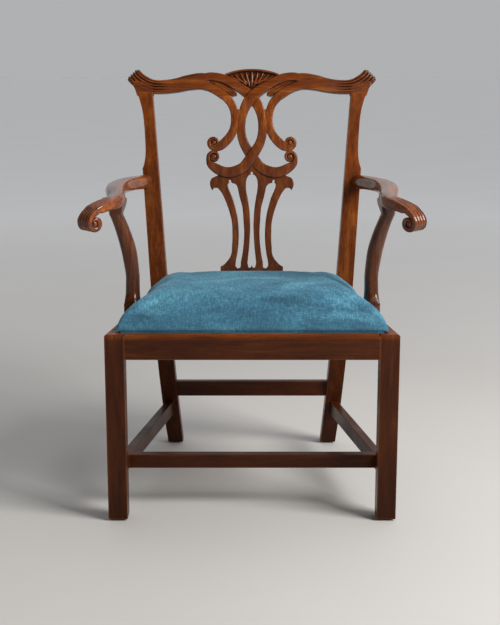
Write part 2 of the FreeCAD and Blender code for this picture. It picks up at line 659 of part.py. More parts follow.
shoe_blank = prism("shoe_blank", "YZ_Plane", [shoe_profile], "2 * splat_foot_half + 2 * shoe_overhang",
                   Placement(Vector(-FOOT - size("shoe_overhang"), 0, 0), Rotation()))
SLOT_BOTTOM = 30 * JOINT / DRAWN_RISE
slot_spans = (2 * FOOT, size("splat_thickness"), 2 * (SHOE_TOP - SLOT_BOTTOM))
shoe = cut("shoe_cut", shoe_blank, [
    socket("shoe_slot", slot_spans, on_back(0, SHOE_TOP, SPLAT_MIDDLE), TURN_BACK)])
keep(shoe, "splat_shoe")

# ---------------------------------------------------------------- arms


def section(body, name, plane, offset, width, height):
    """A rounded section for a loft, on one of the body's origin planes and moved by offset."""
    sketch = body.newObject("Sketcher::SketchObject", name)
    support = [f for f in body.Origin.OriginFeatures if f.Role == plane][0]
    sketch.AttachmentSupport = [(support, "")]
    sketch.MapMode = "FlatFace"
    sketch.AttachmentOffset = offset
    radius = min(width, height) * SECTION_ROUNDING
    a, b = width / 2 - radius, height / 2 - radius
    corners = [(a, b, 0), (-a, b, 90), (-a, -b, 180), (a, -b, 270)]
    edges = []
    for number, (centre_a, centre_b, start) in enumerate(corners):
        circle = Part.Circle(Vector(centre_a, centre_b, 0), Vector(0, 0, 1), radius)
        arc = Part.ArcOfCircle(circle, math.radians(start), math.radians(start + 90))
        next_a, next_b, next_start = corners[(number + 1) % 4]
        turn = math.radians(next_start)
        follow = Vector(next_a + radius * math.cos(turn), next_b + radius * math.sin(turn), 0)
        edges += [arc, Part.LineSegment(arc.EndPoint, follow)]
    sketch.addGeometry(edges, False)
    return sketch


def lofted(name, plane, stations):
    """A body lofted through rounded sections; a station is an offset, a width and a height."""
    body = doc.addObject("PartDesign::Body", name)
    sketches = [section(body, f"{name}_section_{number}", plane, *station)
                for number, station in enumerate(stations)]
    loft = body.newObject("PartDesign::AdditiveLoft", name + "_loft")
    loft.Profile = sketches[0]
    loft.Sections = sketches[1:]
    return body


ARM_END_DEPTH = ARM_END_Y - FRONT


def arm_depth(share):
    """A depth between the middle of the arm support (0) and the arm's end at the post (1)."""
    return SUPPORT + share * (ARM_END_DEPTH - SUPPORT)


ELBOW = across(arm_depth(0.39)) + size("elbow_overhang")
ARM_TOP = lean_z(ARM_RISE)
SCROLL_TURN = size("scroll_angle")
scroll_ahead = Vector(math.sin(math.radians(SCROLL_TURN)), -math.cos(math.radians(SCROLL_TURN)), 0)
scroll_across = Vector(scroll_ahead.y, -scroll_ahead.x, 0)
SCROLL = Vector(ELBOW + 12, FRONT + SUPPORT - 83, ARM_TOP - 66)
ARM_STATIONS = [
    # half width, depth, drop of the top below the post end, turn outwards, width, height
    (ARM_END_X - 4, ARM_END_DEPTH + 9, 0, 25, size("arm_width"), size("arm_height")),
    (ELBOW - 56, arm_depth(0.78), -2, 27, 32, 31),
    (ELBOW - 31, arm_depth(0.59), -1, 18, 40, 29),
    (ELBOW - 23, arm_depth(0.39), 3, 2, 44, 28),
    (ELBOW - 27, arm_depth(0.2), 7, -8, 42, 28),
    (ELBOW - 38, SUPPORT + 7, 11, -6, 36, 29),
    (ELBOW - 35, SUPPORT - 26, 14, 22, 33, 28),
    (ELBOW - 21, SUPPORT - 51, 18, 44, 36, 25),
    (ELBOW - 3, SUPPORT - 70, 27, 50, 43, 19)]


def arm_offset(x, depth, drop, turn, height):
    middle = ARM_TOP - drop - height / 2
    return Placement(Vector(x, middle, -(FRONT + depth)), Rotation(Vector(0, 1, 0), turn))


def scroll_piece():
    """The rolled end: a C-scroll in the upright plane of the hand grip, as wide as the grip."""
    radius = size("scroll_radius")
    top = radius + 21
    profile = [
        [(-20, top), (-10, top - 6), (6, top - 20), (15, 9), (radius, 0)],
        [(radius, 0), (0.7 * radius, -0.7 * radius), (0, -radius), (-0.7 * radius, -0.7 * radius),
         (-radius, 0), (-0.72 * radius, 0.7 * radius), (-4, radius)],
        [(-4, radius), (-20, top - 18)],
        [(-20, top - 18), (-20, top)]]
    width = size("scroll_length")
    turn = Rotation(Vector(0, 0, 1), SCROLL_TURN - 90)
    start = SCROLL - scroll_across * (width / 2)
    return prism("scroll_block", "XZ_Plane", [profile], "scroll_length",
                 Placement(start, turn))


arm_bar = lofted("arm_bar", "XZ_Plane", [
    (arm_offset(x, depth, drop, turn, height), width, height)
    for x, depth, drop, turn, width, height in ARM_STATIONS])
behind_front_face = turned_box("behind_front_face", (160, 80, 160),
                               on_back(ARM_END_X, ARM_RISE, 40), TURN_BACK)
arm = cut("arm_cut", joined("arm_body", [arm_bar, scroll_piece()]), [
    behind_front_face,
    cylinder("arm_pilot", "screw_diameter / 2 + joint_clearance", "60",
             (SCREW_X, screw_head_y + 1, ARM_END_Z), forward)])
pair(arm, "arm")

# ---------------------------------------------------------------- arm supports

BLOCK_TOP = SEAT_TOP + size("support_block_height")
COLUMN = size("support_width")
REACH = ARM_TOP - SEAT_TOP
SUPPORT_STATIONS = [
    # inset of the middle from the rail's outer face, depth, height, width, front to back
    (size("side_lip") / 2, SUPPORT, SEAT_TOP + 30, size("side_lip"), size("support_block_depth")),
    (size("side_lip") / 2 - 1, SUPPORT + 3, BLOCK_TOP, COLUMN - 0.5, 42),
    (size("side_lip") / 2 - 1.2, SUPPORT + 7, SEAT_TOP + 0.31 * REACH, COLUMN, 36),
    (5, SUPPORT + 9, SEAT_TOP + 0.515 * REACH, COLUMN + 4, 33),
    (-10, SUPPORT + 6, SEAT_TOP + 0.71 * REACH, COLUMN + 2, 34),
    (-17, SUPPORT + 5, SEAT_TOP + 0.845 * REACH, COLUMN + 2, 48),
    (-17, SUPPORT + 7, SEAT_TOP + 0.908 * REACH, COLUMN + 3, 57)]
SIDE_TURN = math.degrees(SIDE_ANGLE)


def support_offset(inset, depth, height):
    return Placement(side_spot(depth, inset, height), Rotation(Vector(0, 0, 1), SIDE_TURN))


support_column = lofted("support_column", "XY_Plane", [
    (support_offset(inset, depth, height), width, thick)
    for inset, depth, height, width, thick in SUPPORT_STATIONS])
block_spans = (size("side_lip"), size("support_block_depth"), 31)
support_block = turned_box("support_block", block_spans,
                           side_spot(SUPPORT, size("side_lip") / 2, SEAT_TOP + 15.5), TURN_SIDE)
support_lap = turned_box("support_lap_piece", LAP_SPANS, lap_spot, TURN_SIDE)
support = cut("support_cut", joined("support_body", [support_column, support_block, support_lap]),
              [arm] + support_screw_holes("support_hole"))
pair(support, "arm_support")

# ---------------------------------------------------------------- fixings, plugs and pads


def screw(name, start, direction, length):
    """A wood screw: a flat head that sinks into the wood and a plain shank."""
    head = cylinder(name + "_head", "screw_head / 2", str(SCREW_HEAD_DEEP), start, direction)
    shank = cylinder(name + "_shank", "screw_diameter / 2", str(length), start, direction)
    return joined(name, [head, shank])


def group(name, pieces):
    piece = doc.addObject("Part::Compound", name)
    piece.Links = pieces
    return piece


arm_screws = []
support_screws = []
plugs = []
for side, sign in SIDES:
    start = Vector(sign * SCREW_X, screw_head_y, ARM_END_Z)
    arm_screws.append(screw(f"arm_screw_{side}", start, forward, 50))
    plug = cylinder(f"plug_rod_{side}", "plug_diameter / 2", "30", start - Vector(*forward) * 30, forward)
    blank = post_blank if sign > 0 else doc.getObject("post_blank_left")
    plugs.append(shared(f"arm_screw_plug_{side}", [plug, blank]))
    for number, spot in enumerate(screw_starts):
        spot = Vector(sign * spot.x, spot.y, spot.z) + Vector(sign * OUTWARD.x, OUTWARD.y, 0) * 0.1
        support_screws.append(screw(f"support_screw_{side}_{number}", spot,
                                    (sign * OUTWARD.x, OUTWARD.y, 0), SIDE_RAIL_WIDTH - 6))
keep(group("arm_screw_group", arm_screws), "arm_screws")
keep(group("plug_group", plugs), "arm_screw_plugs")
keep(group("support_screw_group", support_screws), "arm_support_screws")

pads = []
for side, sign in SIDES:
    for end, x, depth in (("front", HALF_FRONT - LEG / 2, LEG / 2),
                          ("rear", (foot_outer(PAD) + foot_inner(PAD)) / 2,
                           (leg_front(PAD) + leg_back(PAD)) / 2)):
        pads.append(cylinder(f"pad_{end}_{side}", "pad_diameter / 2", "pad_height",
                               (sign * x, FRONT + depth, 0), (0, 0, 1)))
keep(group("pads_group", pads), "foot_pads")

# ---------------------------------------------------------------- corner braces and blocks

BRACE_Z = RAIL_BOTTOM + 6
FRONT_INNER = size("front_lip") + size("ledge")
reach, brace = size("brace_reach"), size("brace_width") * 1.4
front_brace = prism("front_brace", "XY_Plane", [polygon([
    (HALF_FRONT - LEG - reach, FRONT + FRONT_INNER), (HALF_FRONT - LEG - reach + brace, FRONT + FRONT_INNER),
    (inside(LEG + reach - brace, SIDE_RAIL_WIDTH), FRONT + LEG + reach - brace),
    (inside(LEG + reach, SIDE_RAIL_WIDTH), FRONT + LEG + reach)])],
    "brace_height", Placement(Vector(0, 0, BRACE_Z), Rotation()))
pair(front_brace, "corner_brace_front")
block = size("block_reach")
rear_block = prism("rear_block", "XY_Plane", [polygon([
    (inside(REAR_RAIL_FRONT, SIDE_RAIL_WIDTH), FRONT + REAR_RAIL_FRONT),
    (inside(REAR_RAIL_FRONT, SIDE_RAIL_WIDTH) - block, FRONT + REAR_RAIL_FRONT),
    (inside(REAR_RAIL_FRONT - block, SIDE_RAIL_WIDTH), FRONT + REAR_RAIL_FRONT - block)])],
    "brace_height", Placement(Vector(0, 0, BRACE_Z), Rotation()))
pair(rear_block, "corner_block_rear")

# ---------------------------------------------------------------- drop-in seat

CLEAR = size("seat_clearance")
COVER = size("cover_thickness")
SOFT = size("soft_clearance")
SEAT_BASE = LEDGE_TOP + SOFT
FRAME_BASE = SEAT_BASE + COVER + SOFT
FRAME_TOP = FRAME_BASE + size("seat_frame_height")
WEB = size("webbing_thickness")
HESSIAN_TOP = FRAME_TOP + 2 * WEB + size("hessian_thickness")
FRAME_EDGE = CLEAR + COVER + SOFT
RAIL = size("seat_frame_width")


def seat_side(depth, inset):
    return inside(depth, size("side_lip") + inset)


def trapezoid(front, side, rear):
    """The seat's plan, drawn in from the rebate by different amounts at the front, sides and rear."""
    near, far = seat_front + front, SEAT_DEPTH - rear
    return [(seat_side(near, side), FRONT + near), (seat_side(far, side), FRONT + far),
            (-seat_side(far, side), FRONT + far), (-seat_side(near, side), FRONT + near)]


def slab(name, inset, thickness, height):
    return prism(name, "XY_Plane", [polygon(trapezoid(inset, inset, inset))], thickness,
                 Placement(Vector(0, 0, height), Rotation()))


SHOULDER = HESSIAN_TOP + 3
CROWN_TOP = SEAT_TOP + size("crown_height")
CROWN_STEPS = [(0, 0), (6, 0.25), (22, 0.53), (50, 0.77), (92, 0.935), (128, 1.0)]


def dome(name, inset, base, lowered):
    """The stuffed crown: trapezoids that shrink upwards, most at the front and least at the back."""
    body = doc.addObject("PartDesign::Body", name)
    levels = [(0, base)] + [(step, SHOULDER + (CROWN_TOP - SHOULDER) * share - lowered)
                            for step, share in CROWN_STEPS]
    sketches = []
    for number, (step, height) in enumerate(levels):
        sketch = body.newObject("Sketcher::SketchObject", f"{name}_level_{number}")
        support = [f for f in body.Origin.OriginFeatures if f.Role == "XY_Plane"][0]
        sketch.AttachmentSupport = [(support, "")]
        sketch.MapMode = "FlatFace"
        sketch.AttachmentOffset = Placement(Vector(0, 0, height), Rotation())
        corners = trapezoid(inset + step * 1.5, inset + step * 1.1, inset + step * 0.6)
        sketch.addGeometry(outline(polygon(corners)), False)
        sketches.append(sketch)
    loft = body.newObject("PartDesign::AdditiveLoft", name + "_loft")
    loft.Profile = sketches[0]
    loft.Sections = sketches[1:]
    loft.Ruled = True
    return body


def edge_points(inset, pitch, margin):
    """Points along the seat's underside, inset from its edge and clear of the corners."""
    corners = [Vector(x, y, 0) for x, y in trapezoid(inset, inset, inset)]
    spots = []
    for first, second in zip(corners, corners[1:] + corners[:1]):
        run = second - first
        count = max(2, round((run.Length - 2 * margin) / pitch))
        for number in range(count + 1):
            spots.append(first + run * ((margin + (run.Length - 2 * margin) * number / count) / run.Length))
    return spots


def tacks(name, spots, head_base, up):
    """Upholstery tacks: a thin round head and a shank driven into the frame."""
    made = []
    holes = []
    for number, (x, y) in enumerate(spots):
        head = cylinder(f"{name}_head_{number}", "tack_head / 2", "1", (x, y, head_base), up)
        shank = cylinder(f"{name}_shank_{number}", "tack_shank / 2", "tack_length", (x, y, head_base), up)
        holes.append(cylinder(f"{name}_hole_{number}", "tack_shank / 2 + joint_clearance",
                              "tack_length + joint_clearance", (x, y, head_base), up))
        made.append(joined(f"{name}_{number}", [head, shank]))
    return made, holes


cover_spots = [(spot.x, spot.y) for spot in edge_points(CLEAR + 16, size("tack_pitch") * 2, 45)]
cover_tacks, cover_holes = tacks("cover_tack", cover_spots, SEAT_BASE - 1, (0, 0, 1))
keep(group("cover_tack_group", cover_tacks), "cover_tacks")

STRIP = size("webbing_width")
long_x = [-STRIP * 2.2, -STRIP * 0.73, STRIP * 0.73, STRIP * 2.2]
FREE_DEPTH = SEAT_DEPTH - seat_front - 2 * RAIL
cross_depth = [seat_front + RAIL + FREE_DEPTH * share for share in (0.17, 0.5, 0.83)]
WEB_MARGIN = FRAME_EDGE + 14
WEB_RUN = SEAT_DEPTH - seat_front - 2 * WEB_MARGIN
long_strips = [box(f"web_long_{number}", "webbing_width", str(WEB_RUN), "webbing_thickness",
                   f"{x} - webbing_width / 2", str(FRONT + seat_front + WEB_MARGIN), str(FRAME_TOP))
               for number, x in enumerate(long_x)]
cross_strips = []
web_spots = []
for number, depth in enumerate(cross_depth):
    half = seat_side(depth + STRIP / 2, WEB_MARGIN)
    cross_strips.append(box(f"web_cross_{number}", str(2 * half), "webbing_width", "webbing_thickness",
                            str(-half), f"{FRONT + depth} - webbing_width / 2", str(FRAME_TOP + WEB)))
    web_spots += [(sign * (half - 6), FRONT + depth + shift) for _, sign in SIDES for shift in (-16, 16)]
for x in long_x:
    for depth in (seat_front + WEB_MARGIN + 6, SEAT_DEPTH - WEB_MARGIN - 6):
        web_spots += [(x + shift, FRONT + depth) for shift in (-16, 16)]
web_tacks, web_holes = tacks("web_tack", web_spots, FRAME_TOP + 3 * WEB, (0, 0, -1))
keep(group("web_tack_group", web_tacks), "webbing_tacks")
web_sheet = cut("web_cut", joined("web_body", long_strips + cross_strips), web_tacks)
keep(web_sheet, "seat_webbing")

hessian_slab = slab("hessian_slab", FRAME_EDGE + 8, "hessian_thickness", FRAME_TOP + 2 * WEB)
keep(cut("hessian_cut", hessian_slab, web_tacks), "seat_hessian")

frame_tenon = (14, 30, 7)
frame_middle = FRAME_BASE + size("seat_frame_height") / 2
tenon_inset = FRAME_EDGE + RAIL / 2
tenon_spots = {}
for end, depth in (("front", seat_front + FRAME_EDGE + RAIL), ("rear", SEAT_DEPTH - FRAME_EDGE - RAIL)):
    tenon_spots[end] = (seat_side(depth, tenon_inset), FRONT + depth, frame_middle)


def frame_rail(name, near, far, inner):
    """One rail of the loose seat frame, between two depths, out to the frame's edge."""
    corners = [(seat_side(near, FRAME_EDGE), FRONT + near), (seat_side(far, FRAME_EDGE), FRONT + far)]
    if inner is None:
        corners += [(-x, y) for x, y in reversed(corners)]
    else:
        corners += [(seat_side(far, inner), FRONT + far), (seat_side(near, inner), FRONT + near)]
    return prism(name, "XY_Plane", [polygon(corners)], "seat_frame_height",
                 Placement(Vector(0, 0, FRAME_BASE), Rotation()))


drilled = cover_holes + web_holes
near_front, far_front = seat_front + FRAME_EDGE, seat_front + FRAME_EDGE + RAIL
near_rear, far_rear = SEAT_DEPTH - FRAME_EDGE - RAIL, SEAT_DEPTH - FRAME_EDGE
for end, near, far in (("front", near_front, far_front), ("rear", near_rear, far_rear)):
    x, y, z = tenon_spots[end]
    sockets = [socket(f"frame_{end}_mortise_{side}", frame_tenon, (sign * x, y, z),
                      Rotation(Vector(0, 0, 1), sign * SIDE_TURN)) for side, sign in SIDES]
    keep(cut(f"frame_{end}_cut", frame_rail(f"frame_{end}_blank", near, far, None), sockets + drilled),
         f"seat_frame_{end}")
side_blank = frame_rail("frame_side_blank", far_front, near_rear, FRAME_EDGE + RAIL)
side_body = joined("frame_side_body", [side_blank] + [
    turned_box(f"frame_side_tenon_{end}", frame_tenon, tenon_spots[end], TURN_SIDE) for end in tenon_spots])
pair(cut("frame_side_cut", side_body, drilled), "seat_frame")

TACK_HEAD_ROOM = 1.2
keep(dome("stuffing", FRAME_EDGE, HESSIAN_TOP + TACK_HEAD_ROOM, COVER + SOFT), "seat_stuffing")
cover_outer = dome("cover_dome", CLEAR, SEAT_BASE, 0)
cover_inner = dome("cover_inner_dome", CLEAR + COVER, SEAT_BASE + COVER, COVER)
hem_opening = slab("hem_opening", CLEAR + size("hem_width"), "rebate_depth / 2", SEAT_BASE - 2)
keep(cut("cover_cut", cover_outer, [cover_inner, hem_opening] + cover_holes), "seat_cover")

# ---------------------------------------------------------------- check and write

doc.recompute()
for item in doc.Objects:
    if "Invalid" in item.State or "Error" in item.State:
        raise RuntimeError(f"{item.Name} failed: {item.State}")
os.makedirs("parts", exist_ok=True)
for item in nodes:
    shape = item.Shape
    if shape.isNull() or not shape.isValid() or not shape.Solids:
        raise RuntimeError(f"{item.Label} has no sound solid")
    shape.exportStep(f"parts/{item.Label}.step")
    print(item.Label, len(shape.Solids), round(shape.Volume))
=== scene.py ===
"""The looks of an open mahogany armchair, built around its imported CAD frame. Metres, +Z up, the front at -Y."""

import math

import bmesh
import bpy
import numpy as np
from mathutils import Euler, Matrix, Vector, noise


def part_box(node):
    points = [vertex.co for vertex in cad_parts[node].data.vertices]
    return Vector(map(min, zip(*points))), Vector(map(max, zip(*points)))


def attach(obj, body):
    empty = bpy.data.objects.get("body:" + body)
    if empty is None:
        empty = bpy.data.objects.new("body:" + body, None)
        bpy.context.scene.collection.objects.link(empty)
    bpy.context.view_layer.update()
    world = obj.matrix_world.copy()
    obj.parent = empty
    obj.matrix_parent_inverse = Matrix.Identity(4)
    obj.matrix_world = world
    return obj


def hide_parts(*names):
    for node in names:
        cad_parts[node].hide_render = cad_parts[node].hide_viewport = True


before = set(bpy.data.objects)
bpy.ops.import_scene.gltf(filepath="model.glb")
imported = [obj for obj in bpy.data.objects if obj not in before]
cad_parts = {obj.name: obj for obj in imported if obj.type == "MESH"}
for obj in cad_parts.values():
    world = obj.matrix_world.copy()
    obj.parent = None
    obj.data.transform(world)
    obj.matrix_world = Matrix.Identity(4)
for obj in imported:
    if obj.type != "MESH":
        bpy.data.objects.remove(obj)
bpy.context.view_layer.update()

MM = 0.001
FRAME_BODY = "chair_frame"
SEAT_BODY = "drop_in_seat"
SIDES = (("left", -1), ("right", 1))

# ---------------------------------------------------------------- places taken from the frame

RAIL_LOW, RAIL_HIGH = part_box("front_seat_rail")
SIDE_LOW, SIDE_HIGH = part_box("side_seat_rail_right")
CREST_LOW, CREST_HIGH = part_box("crest_rail")

LEAN = math.radians(9.5)
SEAT_TOP = RAIL_HIGH.z
JOINT_RISE = 482 * MM
BACK_FOOT = CREST_LOW.y - JOINT_RISE * math.sin(LEAN)
SIDE_TURN = math.radians(7.76)


def on_back(x, rise, behind=0.0):
    """A point of the leaning back, from millimetres across, up the back's face and behind it."""
    up, back = rise * MM, behind * MM
    return Vector((x * MM,
                   BACK_FOOT + up * math.sin(LEAN) + back * math.cos(LEAN),
                   SEAT_TOP + up * math.cos(LEAN) - back * math.sin(LEAN)))


# ---------------------------------------------------------------- node helpers

def new_material(name):
    material = bpy.data.materials.new(name)
    material.use_nodes = True
    tree = material.node_tree
    return material, tree, tree.nodes["Principled BSDF"]


def add(tree, kind, **values):
    node = tree.nodes.new(kind)
    for key, value in values.items():
        if key in node.inputs:
            node.inputs[key].default_value = value
        else:
            setattr(node, key, value)
    return node


def link(tree, source, socket):
    tree.links.new(source, socket)


def spot(tree, turn=(0, 0, 0), scale=(1, 1, 1)):
    """The place on the object in metres, turned and then stretched."""
    where = add(tree, "ShaderNodeTexCoord")
    turned = add(tree, "ShaderNodeMapping", vector_type="POINT")
    turned.inputs["Rotation"].default_value = turn
    stretched = add(tree, "ShaderNodeMapping", vector_type="POINT")
    stretched.inputs["Scale"].default_value = scale
    link(tree, where.outputs["Object"], turned.inputs["Vector"])
    link(tree, turned.outputs["Vector"], stretched.inputs["Vector"])
    return stretched.outputs["Vector"]


def cloud(tree, vector, scale, detail=4.0, roughness=0.55, distortion=0.0):
    node = add(tree, "ShaderNodeTexNoise", Scale=scale, Detail=detail, Roughness=roughness, Distortion=distortion)
    link(tree, vector, node.inputs["Vector"])
    return node.outputs["Fac"]


def ramp(tree, factor, *stops):
    """A colour or grey ramp from (position, colour) stops."""
    node = add(tree, "ShaderNodeValToRGB")
    elements = node.color_ramp.elements
    while len(elements) < len(stops):
        elements.new(0.5)
    for element, (position, colour) in zip(elements, stops):
        element.position = position
        element.color = (colour,) * 3 + (1,) if isinstance(colour, float) else tuple(colour) + (1,)
    link(tree, factor, node.inputs["Fac"])
    return node.outputs["Color"]


def blend_colours(tree, first, second, factor, mode="MIX"):
    node = add(tree, "ShaderNodeMix", data_type="RGBA", blend_type=mode)
    for value, socket in ((factor, node.inputs[0]), (first, node.inputs[6]), (second, node.inputs[7])):
        if isinstance(value, bpy.types.NodeSocket):
            link(tree, value, socket)
        else:
            socket.default_value = value
    return node.outputs[2]


def arithmetic(tree, operation, first, second):
    node = add(tree, "ShaderNodeMath", operation=operation)
    for value, socket in ((first, node.inputs[0]), (second, node.inputs[1])):
        if isinstance(value, bpy.types.NodeSocket):
            link(tree, value, socket)
        else:
            socket.default_value = value
    return node.outputs[0]


def raised(tree, shader, height, distance, strength=1.0):
    """Bumps the surface by a height from 0 to 1 over a distance in metres."""
    node = add(tree, "ShaderNodeBump", Distance=distance, Strength=strength)
    link(tree, height, node.inputs["Height"])
    link(tree, node.outputs["Normal"], shader.inputs["Normal"])


# ---------------------------------------------------------------- materials

MAHOGANY_DARK = (0.020, 0.0050, 0.0018)
MAHOGANY_DEEP = (0.110, 0.0230, 0.0040)
MAHOGANY_BODY = (0.215, 0.0480, 0.0070)
MAHOGANY_GOLD = (0.360, 0.1030, 0.0170)
# how much darker the wood is painted at each height in metres, as painted shade and partly grime: most near the floor
# and again at the arms' height, least in a band at the seat rails' rounded top edges, and none above the arms
HEIGHT_SHADE_AND_GRIME = ((0.03, 0.90), (0.12, 0.80), (0.401, 0.76), (0.408, 0.26), (0.420, 0.26), (0.432, 0.48), (0.50, 0.30),
         (0.61, 0.18), (0.655, 0.42), (0.695, 0.30), (0.73, 0.0))
# the arms' own height ramp: painted shade, partly grime, darker on the scrolls below the grips
ARM_SHADE_AND_GRIME = ((0.60, 0.45), (0.66, 0.0))


def wood(name, turn, tones, patina=0.5, gloss=0.27, coat=0.4, rubbed=0.35, shine=0.22, painted_side_shade=0.0, shade_and_grime_ramp=HEIGHT_SHADE_AND_GRIME,
         relief=0.00012):
    """Polished wood whose grain runs along the turned X axis."""
    material, tree, shader = new_material(name)
    along = spot(tree, turn, (1.0, 9.0, 9.0))
    bands = cloud(tree, along, 6.0, 5.0, 0.62, 0.7)
    streaks = cloud(tree, spot(tree, turn, (4.0, 130.0, 130.0)), 3.0, 3.0, 0.6)
    figure = arithmetic(tree, "ADD", arithmetic(tree, "MULTIPLY", bands, 0.68),
                        arithmetic(tree, "MULTIPLY", streaks, 0.32))
    colour = ramp(tree, figure, (0.36, tones[1]), (0.50, tones[2]), (0.63, tones[3]))
    pores = cloud(tree, spot(tree, turn, (45.0, 1500.0, 1500.0)), 1.0, 2.0, 0.5)
    pore_mask = ramp(tree, pores, (0.56, 0.0), (0.66, 1.0))
    colour = blend_colours(tree, colour, tones[0] + (1,), arithmetic(tree, "MULTIPLY", pore_mask, 0.45))
    stains = ramp(tree, cloud(tree, spot(tree), 7.0, 6.0, 0.65, 0.4), (0.35, 0.0), (0.75, 1.0))
    colour = blend_colours(tree, colour, tones[0] + (1,), arithmetic(tree, "MULTIPLY", stains, patina))
    # painted shade and partly grime, by height: darker lower down and at the arms' height
    height = add(tree, "ShaderNodeSeparateXYZ")
    link(tree, spot(tree), height.inputs[0])
    shade_and_grime = ramp(tree, height.outputs["Z"], *shade_and_grime_ramp)
    colour = blend_colours(tree, colour, tones[0] + (1,), shade_and_grime)
    # painted shade: the colour darkens in hollows, grooves and corners where the piece closes round itself
    recess = add(tree, "ShaderNodeAmbientOcclusion", Distance=0.014, samples=6, only_local=True)
    shade = ramp(tree, recess.outputs["AO"], (0.30, 1.0), (0.88, 0.0))
    colour = blend_colours(tree, colour, tones[0] + (1,), arithmetic(tree, "MULTIPLY", shade, 0.9))
    # painted shade: faces that turn away from the back's front are darkened towards the darkest tone
    if painted_side_shade:
        facing = add(tree, "ShaderNodeVectorMath", operation="DOT_PRODUCT")
        link(tree, add(tree, "ShaderNodeNewGeometry").outputs["Normal"], facing.inputs[0])
        facing.inputs[1].default_value = (0, -math.cos(LEAN), math.sin(LEAN))
        turned = ramp(tree, arithmetic(tree, "ABSOLUTE", facing.outputs["Value"], 0.0), (0.50, painted_side_shade), (0.93, 0.0))
        colour = blend_colours(tree, colour, tones[0] + (1,), turned)
    if rubbed:
        edge = add(tree, "ShaderNodeAmbientOcclusion", Distance=0.0035, samples=6, only_local=True, inside=True)
        worn = ramp(tree, edge.outputs["AO"], (0.45, 0.75), (0.92, 0.0))
        colour = blend_colours(tree, colour, tones[3] + (1,), arithmetic(tree, "MULTIPLY", worn, rubbed))
    link(tree, colour, shader.inputs["Base Color"])
    rough = add(tree, "ShaderNodeMapRange")
    rough.inputs["To Min"].default_value = gloss - 0.07
    rough.inputs["To Max"].default_value = gloss + 0.16
    link(tree, stains, rough.inputs["Value"])
    link(tree, rough.outputs[0], shader.inputs["Roughness"])
    shader.inputs["Specular IOR Level"].default_value = shine
    shader.inputs["Coat Weight"].default_value = coat
    shader.inputs["Coat Roughness"].default_value = 0.09
    surface = arithmetic(tree, "SUBTRACT", arithmetic(tree, "MULTIPLY", streaks, 0.6),
                         arithmetic(tree, "MULTIPLY", pore_mask, 0.4))
    raised(tree, shader, surface, relief)
    return material


MAHOGANY = (MAHOGANY_DARK, MAHOGANY_DEEP, MAHOGANY_BODY, MAHOGANY_GOLD)
BEECH = ((0.16, 0.085, 0.04), (0.33, 0.20, 0.10), (0.42, 0.27, 0.145), (0.50, 0.34, 0.20))
GRAIN = {
    "across": (0, 0, 0),
    "ahead": (0, 0, math.radians(90)),
    "upright": (0, math.radians(90), 0),
    "left_side": (0, 0, math.radians(90) + SIDE_TURN),
    "right_side": (0, 0, math.radians(90) - SIDE_TURN),
}
MAHOGANY_RUNS = {key: wood("mahogany_" + key, turn, MAHOGANY, gloss=0.36, coat=0.08, shine=0.10)
                 for key, turn in GRAIN.items()}
BEECH_RUNS = {key: wood("beech_" + key, GRAIN[key], BEECH, patina=0.25, gloss=0.6, coat=0.0, rubbed=0.0)
              for key in ("across", "ahead")}
CARVED_RUNS = {key: wood("carved_" + key, GRAIN[key], MAHOGANY, coat=0.25, rubbed=0.0, painted_side_shade=0.75)
               for key in ("across", "upright")}
ARM_WOOD = wood("mahogany_arms", GRAIN["ahead"], MAHOGANY, gloss=0.24, coat=0.6, rubbed=0.0, shade_and_grime_ramp=ARM_SHADE_AND_GRIME,
                relief=0.00004)
# painted shade: the supports stand under the arms, so they get a copy of the mahogany with every tone darkened
SHADED_MAHOGANY = wood("shaded_mahogany_supports", GRAIN["upright"],
                       [tuple(0.62 * channel for channel in tone) for tone in MAHOGANY], rubbed=0.0)


PAD_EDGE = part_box("seat_frame_front")[1].z


